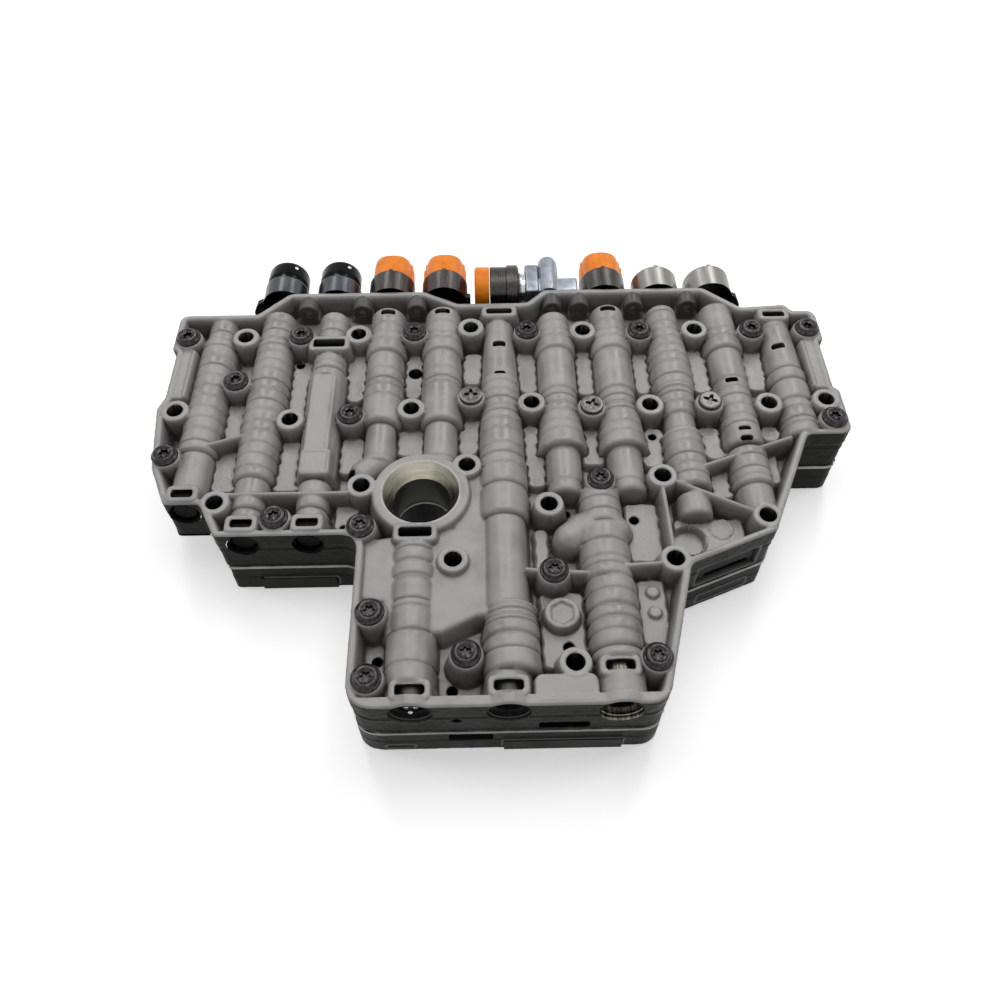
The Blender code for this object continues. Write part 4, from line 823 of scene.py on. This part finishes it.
TURNED = metal_material("turned_steel", (0.4, 0.4, 0.4), (0.6, 0.6, 0.6), 0.2, 1.0, (1, 10, 1), 400.0)
SPLINED = metal_material("splined_mouth", (0.02, 0.019, 0.016), (0.3, 0.28, 0.22), 0.25, 1.0, (6, 0.5, 6),
                         160.0, 0.3)
SHEET = metal_material("plate_sheet", (0.2, 0.2, 0.19), (0.32, 0.32, 0.3), 0.4, 0.8, None, 200.0)
BRACKET = metal_material("black_bracket", (0.006, 0.006, 0.007), (0.016, 0.016, 0.018), 0.3, 0.6, None, 300.0)
PLUG = metal_material("plug_screw", (0.07, 0.068, 0.064), (0.14, 0.136, 0.128), 0.3, 0.9, None, 600.0, 0.08)
# Near-black plug faces deep in the side mouths: painted shade.
PIT = cast_material("plug_pit_shade", (0.004, 0.004, 0.0035), (0.012, 0.012, 0.01), 0.5, 0.0, 0.05)
# Wall bosses: a darker copy of the cast skin, painted shade for faces turned from the light.
SHADED_BOSS_FACE = cast_material("shaded_boss_face", (0.055, 0.054, 0.05), (0.1, 0.098, 0.092), 0.4, 0.1, 0.3)
ORANGE = plastic_material("orange_plastic", (0.85, 0.2, 0.006), (0.98, 0.28, 0.012), 0.34, 0.12, 0.25)
BLACK = plastic_material("black_plastic", (0.002, 0.002, 0.003), (0.006, 0.006, 0.007), 0.16, 0.05, 0.05)


# Meshes

def finish_mesh(name, vertices, faces, material, smooth_angle=40.0, replaces=(), values=()):
    """An object that rides on the castings, from vertices in millimetres."""
    mesh = bpy.data.meshes.new(name)
    mesh.from_pydata(np.asarray(vertices) * MM, [], faces)
    mesh.update()
    mesh.polygons.foreach_set("use_smooth", np.ones(len(mesh.polygons), bool))
    mesh.set_sharp_from_angle(angle=math.radians(smooth_angle))
    for key, value in values:
        attribute = mesh.attributes.new(key, "FLOAT", "POINT")
        attribute.data.foreach_set("value", np.asarray(value, dtype=np.float32))
    mesh.materials.append(material)
    piece = bpy.data.objects.new(name, mesh)
    bpy.context.scene.collection.objects.link(piece)
    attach(piece, ROOT_BODY)
    for node in replaces:
        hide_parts(node)
    return piece


def relief_pieces():
    """The relief, cut into three pieces along X."""
    relief = build_relief()
    triangles = relief_triangles(relief)
    x, y, z = relief.x.ravel(), relief.y.ravel(), relief.z.ravel() + DECK
    centre = x[triangles].mean(axis=1)
    for name, low, high in (("left", -999, -42), ("middle", -42, 42), ("right", 42, 999)):
        mine = triangles[(centre >= low) & (centre < high)]
        used, faces = np.unique(mine, return_inverse=True)
        points = np.stack((x[used], y[used], z[used]), 1)
        finish_mesh(f"ribbed_face_{name}", points, faces.reshape(mine.shape).tolist(), CAST, 75.0,
                    UPPER, relief.values(used))


def lathe(profile, place, axis, sides=48, shape=None):
    """Vertices and faces turned about an axis, from along, radius and how far the shape of the angle adds."""
    vertices, faces = [], []
    turn = Vector((0, 0, 1)).rotation_difference(Vector(axis)).to_matrix()
    place = Vector(place)
    for row in profile:
        along, radius = row[0], row[1]
        for i in range(sides):
            angle = 2 * math.pi * i / sides
            reach = radius + (row[2] * shape(angle) if len(row) > 2 else 0.0)
            vertices.append(turn @ Vector((reach * math.cos(angle), reach * math.sin(angle), along)) + place)
    for ring in range(len(profile) - 1):
        for i in range(sides):
            j = (i + 1) % sides
            low, high = ring * sides, (ring + 1) * sides
            faces.append((low + i, low + j, high + j, high + i))
    return vertices, faces


def turned(name, profile, place, axis, material, replaces, sides, shape=None, angle=35.0):
    vertices, faces = lathe(profile, place, axis, sides, shape)
    return finish_mesh(name, vertices, faces, material, angle, replaces)


def rounded_box(name, low, high, radius, material, replaces):
    """A block with rounded edges, from its low and high corners."""
    bm = bmesh.new()
    bmesh.ops.create_cube(bm, size=1.0)
    for vertex in bm.verts:
        vertex.co = [(a + b) / 2 + (b - a) * c for a, b, c in zip(low, high, vertex.co)]
    bmesh.ops.bevel(bm, geom=bm.edges[:], offset=radius, segments=4, profile=0.5, affect="EDGES")
    vertices = [vertex.co[:] for vertex in bm.verts]
    faces = [[vertex.index for vertex in face.verts] for face in bm.faces]
    bm.free()
    return finish_mesh(name, vertices, faces, material, 30.0, replaces)


def lobes(count, phase):
    return lambda angle: math.cos(count * (angle - phase))


def flange_screws():
    """Flange screws with a six-lobed recess."""
    rng = np.random.default_rng(11)
    seat = DECK + 0.6
    top = seat + 2.7
    profile = ((seat - 6, 2.4), (seat - 0.02, 2.4), (seat, 5.8), (seat + 0.15, 6.0), (seat + 0.75, 6.0),
               (seat + 1.0, 5.85), (seat + 1.3, 5.2), (seat + 1.7, 4.9), (top - 0.35, 4.7), (top - 0.08, 4.4),
               (top, 4.0), (top, 3.55), (top - 0.2, 3.3), (top - 0.75, 2.5, 0.1), (top - 0.85, 2.1, 0.36),
               (top - 2.5, 1.95, 0.34), (top - 2.7, 1.3, 0.1), (top - 2.7, 0.02))
    for number, (x, y) in enumerate(places(SCREWS), 1):
        turned(f"dressed_screw_{number:02d}", profile, (x, y, 0), UP, SCREW,
               (f"flange_screw_{number:02d}",), 36, lobes(6, rng.uniform(0, 6.28)))


def plug_screws():
    """Plug screws with a cross recess."""
    rng = np.random.default_rng(12)
    top = DECK + 2.4
    profile = ((DECK - 6, 5.2), (DECK + 0.2, 5.2), (DECK + 0.4, 5.5), (top - 0.6, 5.5), (top - 0.15, 5.2),
               (top, 4.6), (top, 3.9), (top - 0.1, 2.4, 1.0), (top - 1.8, 2.0, 0.8), (top - 2.0, 0.02))
    for number, (x, y) in enumerate(places(PLUG_SCREWS), 1):
        turned(f"dressed_plug_screw_{number}", profile, (x, y, 0), UP, PLUG,
               (f"plug_screw_{number}",), 40, lobes(4, rng.uniform(0, 6.28)))


def main_bore():
    """The machined cone and the bore below it."""
    x, y = MAIN_BORE
    low = DECK - MAIN_CONE_DEPTH
    radius = MAIN_BORE_RADIUS
    cone = ((DECK + 0.02, MAIN_CONE_RADIUS), (DECK - 0.5, MAIN_CONE_RADIUS - 0.35),
            (low + 0.2, radius + 0.15), (low, radius))
    turned("bore_cone", cone, (x, y, 0), UP, BORE, UPPER, 96)
    lining = ((low, radius), (DECK - 14.0, radius), (LOWER_TOP - 0.5, radius))
    turned("bore_lining", lining, (x, y, 0), UP, BORE_SHADE, UPPER, 96)


def wall_bosses():
    """Round bosses that stand out from the back wall, drilled in their faces."""
    radius, level, front = WALL_BOSS
    for number, (x, hole) in enumerate(WALL_BOSSES, 1):
        profile = [(BACK_WALL - 2, radius), (front + 0.9, radius), (front + 0.4, radius - 0.15),
                   (front + 0.1, radius - 0.5), (front, radius - 1.0)]
        if hole:
            profile += [(front, hole + 0.3), (front + 0.3, hole), (front + 2.5, hole)]
        profile.append((front + (2.5 if hole else 0), 0.02))
        # The bosses get the darker cast skin, painted shade.
        turned(f"wall_boss_{number}", profile, (x, 0, DECK + level), BACK, SHADED_BOSS_FACE, UPPER, 40)


def mouths():
    """Machined mouths of the open bores, down to the face of each plug."""
    for name, x, clip, wall in TRAINS:
        radius, depth, level, opening = FRONT_MOUTH if wall == FRONT_WALL else SIDE_MOUTH
        seat = 6.0
        profile = [(wall - 0.15, radius + 0.3), (wall + 0.5, radius), (wall + depth * 0.4, radius),
                   (wall + depth * 0.4 + 0.3, radius - 0.25), (wall + depth, radius - 0.25),
                   (wall + depth, seat), (clip + 4.0, seat)]
        # Side mouths end in a near-black plug face, painted shade.
        finish = SPLINED if name == "front_right" else BORE_SHADE if wall == FRONT_WALL else PIT
        turned(f"{name}_mouth", profile, (x, 0, level), BACK, finish, UPPER, 64)
    name, x, clip, wall = TRAINS[3]
    pin = ((clip - 3.4, 3.0), (clip - 3.8, 3.0), (clip - 4.0, 2.6), (clip - 4.1, 1.2), (clip - 5.8, 1.0),
           (clip - 6.2, 0.6), (clip - 6.3, 0.02))
    turned("front_left_pin", pin, (x, 0, 35.4), BACK, TURNED, ("front_left_end_plug",), 32)


def clip_legs():
    """Bright legs of the retaining clips, seen in the pockets of the front bores."""
    leg = ((DECK - 10.5, 0.8), (DECK - 6.6, 0.8), (DECK - 6.2, 0.65), (DECK - 5.9, 0.35), (DECK - 5.85, 0.02))
    for name, x, clip, wall in TRAINS:
        if wall != FRONT_WALL:
            continue
        for side in (-1, 1):
            turned(f"{name}_clip_leg_{side + 1}", leg, (x + side * 2.3, clip, 0), UP, TURNED,
                   (f"{name}_end_plug",), 20)


def arc_points(points, spacing):
    """An outline as evenly spaced places, with outward normals and the length along it."""
    closed = np.array(points + points[:1])
    area = np.sum(closed[:-1, 0] * closed[1:, 1] - closed[1:, 0] * closed[:-1, 1])
    if area < 0:
        closed = closed[::-1]
    keep = np.concatenate(([True], np.hypot(*np.diff(closed, axis=0).T) > 1e-6))
    closed = closed[keep]
    along = np.concatenate(([0], np.cumsum(np.hypot(*np.diff(closed, axis=0).T))))
    count = int(along[-1] / spacing)
    s = np.linspace(0, along[-1], count + 1)
    x, y = np.interp(s, along, closed[:, 0]), np.interp(s, along, closed[:, 1])
    tx = np.interp(s, s, np.concatenate((x[1:], x[1:2])) - np.concatenate((x[-2:-1], x[:-1])))
    ty = np.interp(s, s, np.concatenate((y[1:], y[1:2])) - np.concatenate((y[-2:-1], y[:-1])))
    length = np.hypot(tx, ty)
    return x, y, ty / length, -tx / length, s


class Wall:
    """A side wall laid out flat: along the outline and up, with offsets outwards."""

    def __init__(self, points, low, high, top=None):
        self.px, self.py, self.nx, self.ny, self.s = arc_points(points, WALL_CELL)
        self.low, self.high = low, high
        self.relief = Relief(self.s, np.linspace(low, high, int((high - low) / WALL_CELL) + 2))
        if top is not None:
            share = np.clip((self.relief.y - high + 6) / 6, 0, 1)
            self.relief.y = self.relief.y + share * top(self.px, self.py)

    def along(self, x, y):
        """Length along the wall at the place nearest to x and y."""
        return self.s[np.argmin(np.hypot(self.px - x, self.py - y))]

    def spot(self, x, y, low, high, reach):
        along = self.along(x, y)
        part = self.relief.window(along - reach, low, along + reach, high, 2.0)
        return part, along

    def cut(self, part, distance):
        """Cut an opening."""
        self.relief.snap(part, distance)
        self.relief.inside[part] &= distance(self.relief.x[part], self.relief.y[part]) > -1e-3

    def mouth(self, x, y, level, radius):
        """Cut a round opening."""
        part, along = self.spot(x, y, self.low, self.high, radius)
        self.cut(part, lambda u, v: circle_distance(u, v, along, level, radius))

    def slot(self, x, y, width, low, high, depth, radius=1.0, dark=True):
        """Sink a rounded slot, or raise a pad where the depth is negative; a dark slot's inside is painted
        near-black as shade.
        """
        part, along = self.spot(x, y, low, high, width / 2)
        centre, length = (low + high) / 2, high - low
        shape = lambda u, v: slot_distance(u, v, along, centre, width, length, radius)
        self.relief.snap(part, shape)
        inside = shape(self.relief.x[part], self.relief.y[part]) < -0.02
        self.relief.z[part] = np.where(inside, self.relief.z[part] - depth, self.relief.z[part])
        if dark:
            self.relief.dark[part] = np.where(inside, 1.0, self.relief.dark[part])

    def lip(self, x, y, width, low, high, rise=0.6, thick=0.7):
        """Raise a thin frame, with a painted highlight along its ridge."""
        part, along = self.spot(x, y, low, high, width / 2)
        u, v = self.relief.x[part], self.relief.y[part]
        distance = slot_distance(u, v, along, (low + high) / 2, width, high - low, 0.8)
        ridge = rise * np.clip(1.4 - np.abs(distance) / (thick / 2), 0, 1)
        self.relief.z[part] = self.relief.z[part] + ridge
        self.relief.bare_and_highlight[part] = np.maximum(self.relief.bare_and_highlight[part], ridge / rise * 0.8)

    def finish(self, name, material, slot, replaces):
        relief = self.relief
        triangles = relief_triangles(relief)
        used, faces = np.unique(triangles, return_inverse=True)
        s, z, offset = (values.ravel()[used] for values in (relief.x, relief.y, relief.z))
        x, y, nx, ny = (np.interp(s, self.s, values) for values in (self.px, self.py, self.nx, self.ny))
        points = np.stack((x + nx * offset, y + ny * offset, z), 1)
        return finish_mesh(name, points, faces.reshape(triangles.shape).tolist(), material, 40.0,
                           replaces, relief.values(used))


def rim_top(x, y):
    return mouth_arch(x) * (y < FRONT_WALL + 2)


def upper_wall():
    """Side wall of the upper casting with its mouths, slots and panels."""
    wall = Wall(UPPER_OUTLINE, UPPER_BASE, DECK - 0.8, rim_top)
    relief = wall.relief
    z = relief.y
    sand = 0.1 * smooth_noise(relief.x, z, 1.6, 21)
    foot = np.clip(1 - (z - UPPER_BASE) / 0.6, 0, 1)
    line = np.exp(-((z - PARTING) / 0.35) ** 2)
    flange = np.clip((z - DECK + 9.4) / 0.5, 0, 1)
    relief.z = sand - 0.5 * foot ** 2 + 0.3 * line - 0.5 + 0.5 * flange
    for name, x, y, front in TRAINS:
        radius, depth, level, opening = FRONT_MOUTH if front == FRONT_WALL else SIDE_MOUTH
        wall.mouth(x, front, level, opening)
    wall.slot(-20, FRONT_WALL, 3.6, 26.6, 29.4, 4.0, 1.4)
    wall.slot(22, FRONT_WALL, 20.0, 19.8, 24.6, 6.0, 0.8)
    for x, y, width in ((96.5, -30, 30.0), (129, 5, 36.0)):
        wall.slot(x, y, width, 20.0, 33.0, 1.4, 1.5, False)
        wall.lip(x, y, width + 1.2, 19.6, 33.4, 0.3, 0.9)
    wall.slot(97, -30, 22.0, 21.6, 24.4, 4.0, 1.0)
    wall.finish("upper_wall", SHADED_WALL, CASTING, UPPER)


def lower_wall():
    """Skin of the lower casting's side with its ledges and marks."""
    wall = Wall(LOWER_OUTLINE, 0.02, LOWER_TOP - 0.02)
    relief = wall.relief
    z = relief.y
    sand = 0.06 * smooth_noise(relief.x, z, 1.6, 22)
    step = np.clip((z - LEDGE_LINE) / 0.4, 0, 1)
    relief.z = sand - 0.28 + 0.2 * (1 - step)
    for x, y, width, low, high in LOWER_FRAMES:
        wall.lip(x, y, width, low, high, 0.5, 0.8)
    low, high, width = RECESS
    part, along = wall.spot(-15, FRONT_WALL, low, high, width / 2)
    wall.cut(part, lambda u, v: slot_distance(u, v, along, (low + high) / 2, width, high - low, 0.2))
    wall.finish("lower_wall", SHADED_WALL, CASTING, ())


def plate_edge():
    """The rolled edge of the plate between the castings."""
    wall = Wall(LOWER_OUTLINE, LOWER_TOP + 0.05, UPPER_BASE - 0.05)
    wall.relief.z = 0.12 + 0.05 * smooth_noise(wall.relief.x, wall.relief.y, 3.0, 23)
    wall.finish("plate_edge", SHEET, "sheet_steel", ())


def lobe_underside():
    """The face under the lobe, which the plate and the lower casting leave free."""
    points = [(x, y, UPPER_BASE + 0.05) for x, y in UPPER_OUTLINE if x < -128 and y < 40]
    finish_mesh("lobe_underside", points, [tuple(range(len(points)))], SHADED_WALL, 40.0, UPPER)


# Cans along the bores: number, column, back end, radius and finish
CANS = (
    (1, -4, 142.0, 11.5, BLUE_CAN), (2, -3, 142.0, 11.5, BLUE_CAN), (3, -2, 144.4, 12.2, DARK_CAN),
    (4, -1, 144.4, 12.2, DARK_CAN), (6, 2, 144.4, 12.2, DARK_CAN), (7, 3, 144.4, 12.2, CAN),
    (8, 4, 144.4, 12.2, CAN),
)


def cap_section(angle, sides):
    """How far a moulded cap stands outside a circle: rounded corners, and a lug at each of its sides."""
    corners = (abs(math.cos(angle)) ** 3.2 + abs(math.sin(angle)) ** 3.2) ** (-1 / 3.2) - 1
    return 9.0 * corners + 1.3 * any(math.cos(angle - side) > 0.95 for side in sides)


def solenoids():
    """Drawn cans along the bores with their caps."""
    level = CAN_LEVEL
    start = BACK_WALL + 0.3
    for number, column, end, radius, finish in CANS:
        x = column * PITCH
        node = (f"solenoid_can_{number}",)
        profile = ((start, radius), (start + 1.7, radius), (start + 1.9, radius - 0.15),
                   (end - 1.2, radius - 0.15), (end - 0.5, radius - 0.1), (end - 0.15, radius - 0.3),
                   (end, radius - 0.7), (end, radius - 2.0), (end - 0.6, radius - 2.2), (end - 0.6, 0.02))
        turned(f"dressed_can_{number}", profile, (x, 0, level), BACK, finish, node, 64)
        rounded_box(f"can_key_{number}", (x - 1.1, end - 0.8, level + radius - 1.6),
                    (x + 1.1, end + 1.0, level + radius - 0.3), 0.25, finish, node)
    black = ((142.0, 10.4), (142.4, 10.8), (144.3, 10.9), (144.5, 10.6), (145.0, 10.6), (145.2, 10.9),
             (152.4, 10.8), (153.8, 10.3), (154.6, 9.5), (154.8, 8.6), (154.8, 7.0), (154.4, 6.8),
             (154.4, 0.02))
    window = ((-0.6, 1.0), (0.1, 1.0), (0.25, 0.8), (0.3, 0.02))
    for number, column in ((1, -4), (2, -3)):
        x = column * PITCH
        node = (f"solenoid_cap_{number}",)
        turned(f"dressed_cap_{number}", black, (x, 0, level), BACK, BLACK, node, 64)
        turned(f"cap_window_{number}", window, (x + 5.6, 150.2, level + 9.2), (0.5, 0.0, 0.86), TURNED,
               node, 24)
    orange = ((143.4, 9.9, 0.0), (144.6, 10.2, 0.0), (144.7, 10.2, 1.0), (153.8, 10.1, 1.0),
              (154.0, 10.1, 0.6), (158.2, 10.0, 0.6), (159.0, 9.7, 0.6), (159.5, 9.1, 0.5),
              (159.6, 8.2, 0.4), (159.6, 5.2, 0.0), (159.0, 5.0, 0.0), (159.0, 0.02, 0.0))
    for number, column, sides in ((3, -2, (0,)), (4, -1, (0, math.pi)), (6, 2, (0, math.pi))):
        shape = lambda angle, sides=sides: cap_section(angle, sides)
        turned(f"dressed_cap_{number}", orange, (column * PITCH, 0, level), BACK, ORANGE,
               (f"solenoid_cap_{number}",), 72, shape)


def cross_solenoid():
    """The solenoid that lies across the bores and the bright casting that carries it."""
    level = CAN_LEVEL
    place = (0, CROSS_Y, level)
    can = [(-3.9, 11.0), (-3.5, 12.0)]
    for step in range(6):
        start = -3.2 + step * 1.3
        can += [(start, 12.0), (start + 1.0, 12.0), (start + 1.1, 11.75), (start + 1.25, 11.75)]
    can += [(4.8, 12.0), (4.9, 12.8), (10.4, 12.8), (10.7, 12.5), (10.9, 11.8), (11.3, 11.6), (11.3, 0.02)]
    turned("dressed_can_5", can, place, ACROSS, DARK_CAN, ("solenoid_can_5",), 72)
    cap = ((-4.2, 11.6), (-4.4, 11.9), (-11.0, 12.0), (-11.7, 11.5), (-12.0, 10.8), (-12.0, 8.0),
           (-11.4, 7.8), (-11.4, 0.02))
    turned("dressed_cap_5", cap, place, ACROSS, ORANGE, ("solenoid_cap_5",), 72)
    slot, owner = "bright_casting", ("bright_valve_block",)
    spigot = ((11.6, 8.0), (11.6, 8.6), (12.6, 8.8), (12.8, 8.2), (14.8, 8.2))
    turned("block_spigot", spigot, place, ACROSS, TURNED, owner, 64)
    rounded_box("block_body", (14.6, CROSS_Y - 10.4, level - 9), (21.9, CROSS_Y + 10.4, DECK - 1.6), 1.3,
                SILVER, owner)
    rounded_box("block_foot", (21.2, BACK_WALL + 0.3, level - 9), (42.0, BACK_WALL + 10.3, DECK - 1.0), 1.1,
                SILVER, owner)
    top = BACK_WALL + 22.3
    column = [(BACK_WALL + 0.3, 5.3, 0.1), (top, 5.3, 0.1)]
    for i in range(1, 9):
        angle = i * math.pi / 16
        column.append((top + 6.9 * math.sin(angle), 5.3 * math.cos(angle) + 0.02, 0.1 * math.cos(angle)))
    turned("block_column", column, (27.0, 0, DECK - 4.6), BACK, SILVER, owner, 96, lobes(16, 0), 50.0)


relief_pieces()
upper_wall()
lower_wall()
plate_edge()
lobe_underside()
main_bore()
wall_bosses()
mouths()
clip_legs()
flange_screws()
plug_screws()
solenoids()
cross_solenoid()


# CAD pieces that stay

def dress(node, material):
    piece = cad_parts[node]
    piece.data.materials.clear()
    piece.data.materials.append(material)


# Plugs of the side bores are near-black, painted shade.
for name, x, y, wall in TRAINS:
    dress(f"{name}_end_plug", DARK_STEEL if wall == FRONT_WALL else PIT)
    dress(f"{name}_return_spring", TURNED)
    dress(f"{name}_spool_valve", TURNED)
dress("front_middle_end_plug", BROWN_STEEL)
dress("bright_valve_block", SILVER)
dress("solenoid_bracket", BRACKET)
dress("lower_valve_housing", SHADED_WALL)
dress("separator_plate", SHEET)
dress("upper_valve_housing", CAST)


# Camera, light and floor

CAMERA_PLACE = (-0.00577, -0.23136, 0.3595)
CAMERA_PITCH = math.radians(54.363)
CAMERA_YAW = math.radians(-1.0646)
CAMERA_ROLL = math.radians(0.1717)
CAMERA_FOCUS = 899.67
IMAGE_WIDTH = 1000
# Lamps: name, place, size and power, all aimed at one spot
LAMP_TARGET = (0, 0, 0.02)
LAMPS = (
    ("key", (0.34, 0.72, 0.85), (0.22, 0.6), 2.4), ("second", (-0.34, 0.72, 0.85), (0.16, 0.6), 1.8),
    ("top", (0.0, 0.2, 1.0), (0.8, 0.5), 2.6), ("left_fill", (-0.9, 0.2, 0.7), (0.3, 0.6), 1.4),
    ("right_fill", (0.9, 0.3, 0.7), (0.3, 0.6), 1.2),
)


def add_camera():
    data = bpy.data.cameras.new("camera")
    data.sensor_width = 36.0
    data.lens = CAMERA_FOCUS / IMAGE_WIDTH * data.sensor_width
    data.clip_start = 0.01
    camera = bpy.data.objects.new("camera", data)
    bpy.context.scene.collection.objects.link(camera)
    cos_yaw, sin_yaw = math.cos(CAMERA_YAW), math.sin(CAMERA_YAW)
    cos_pitch, sin_pitch = math.cos(CAMERA_PITCH), math.sin(CAMERA_PITCH)
    right = Vector((cos_yaw, sin_yaw, 0))
    ahead = Vector((-sin_yaw * cos_pitch, cos_yaw * cos_pitch, -sin_pitch))
    down = ahead.cross(right)
    turned_right = math.cos(CAMERA_ROLL) * right + math.sin(CAMERA_ROLL) * down
    turned_down = -math.sin(CAMERA_ROLL) * right + math.cos(CAMERA_ROLL) * down
    axes = Matrix((turned_right, -turned_down, -ahead)).transposed().to_4x4()
    camera.matrix_world = Matrix.Translation(CAMERA_PLACE) @ axes
    bpy.context.scene.camera = camera


def add_lamp(name, place, size, power):
    data = bpy.data.lights.new(name, "AREA")
    data.shape = "RECTANGLE"
    data.size, data.size_y = size
    data.energy = power
    lamp = bpy.data.objects.new(name, data)
    bpy.context.scene.collection.objects.link(lamp)
    lamp.location = place
    lamp.rotation_euler = (Vector(LAMP_TARGET) - Vector(place)).to_track_quat("-Z", "Y").to_euler()


def backdrop_rays(nodes, links):
    """1 for camera, glossy and transmission rays."""
    path = nodes.new("ShaderNodeLightPath")
    seen = path.outputs["Is Camera Ray"]
    for ray in ("Is Glossy Ray", "Is Transmission Ray"):
        node = nodes.new("ShaderNodeMath")
        node.operation = "MAXIMUM"
        links.new(seen, node.inputs[0])
        links.new(path.outputs[ray], node.inputs[1])
        seen = node.outputs[0]
    return seen


def add_world():
    world = bpy.data.worlds.new("studio")
    bpy.context.scene.world = world
    world.use_nodes = True
    nodes, links = world.node_tree.nodes, world.node_tree.links
    background = nodes["Background"]
    seen = backdrop_rays(nodes, links)
    colour = mix_colour(nodes, links, seen, (0.23, 0.234, 0.238), (1.0, 1.0, 1.0))
    links.new(colour, background.inputs["Color"])


def add_floor():
    material, nodes, links, shader = new_material("floor")
    mottle = noise_node(nodes, links, 3.0, 2.0)
    seen = backdrop_rays(nodes, links)
    pale = ramp_node(nodes, links, mottle, ((0.3, (0.99, 0.99, 0.99)), (0.7, (1.0, 1.0, 1.0))))
    links.new(mix_colour(nodes, links, seen, (0.5, 0.5, 0.5), pale), shader.inputs["Base Color"])
    shader.inputs["Roughness"].default_value = 0.9
    shader.inputs["Emission Color"].default_value = (1, 1, 1, 1)
    links.new(map_range(nodes, links, seen, 0, 1, 0, 0.45), shader.inputs["Emission Strength"])
    mesh = bpy.data.meshes.new("floor")
    reach = 3.0
    low = -0.0002
    corners = [(x * reach, y * reach, low) for x, y in ((-1, -1), (1, -1), (1, 1), (-1, 1))]
    mesh.from_pydata(corners, [], [(0, 1, 2, 3)])
    mesh.materials.append(material)
    floor = bpy.data.objects.new("floor", mesh)
    bpy.context.scene.collection.objects.link(floor)


add_camera()
for lamp in LAMPS:
    add_lamp(*lamp)
add_world()
add_floor()
bpy.context.scene.view_settings.view_transform = "Standard"
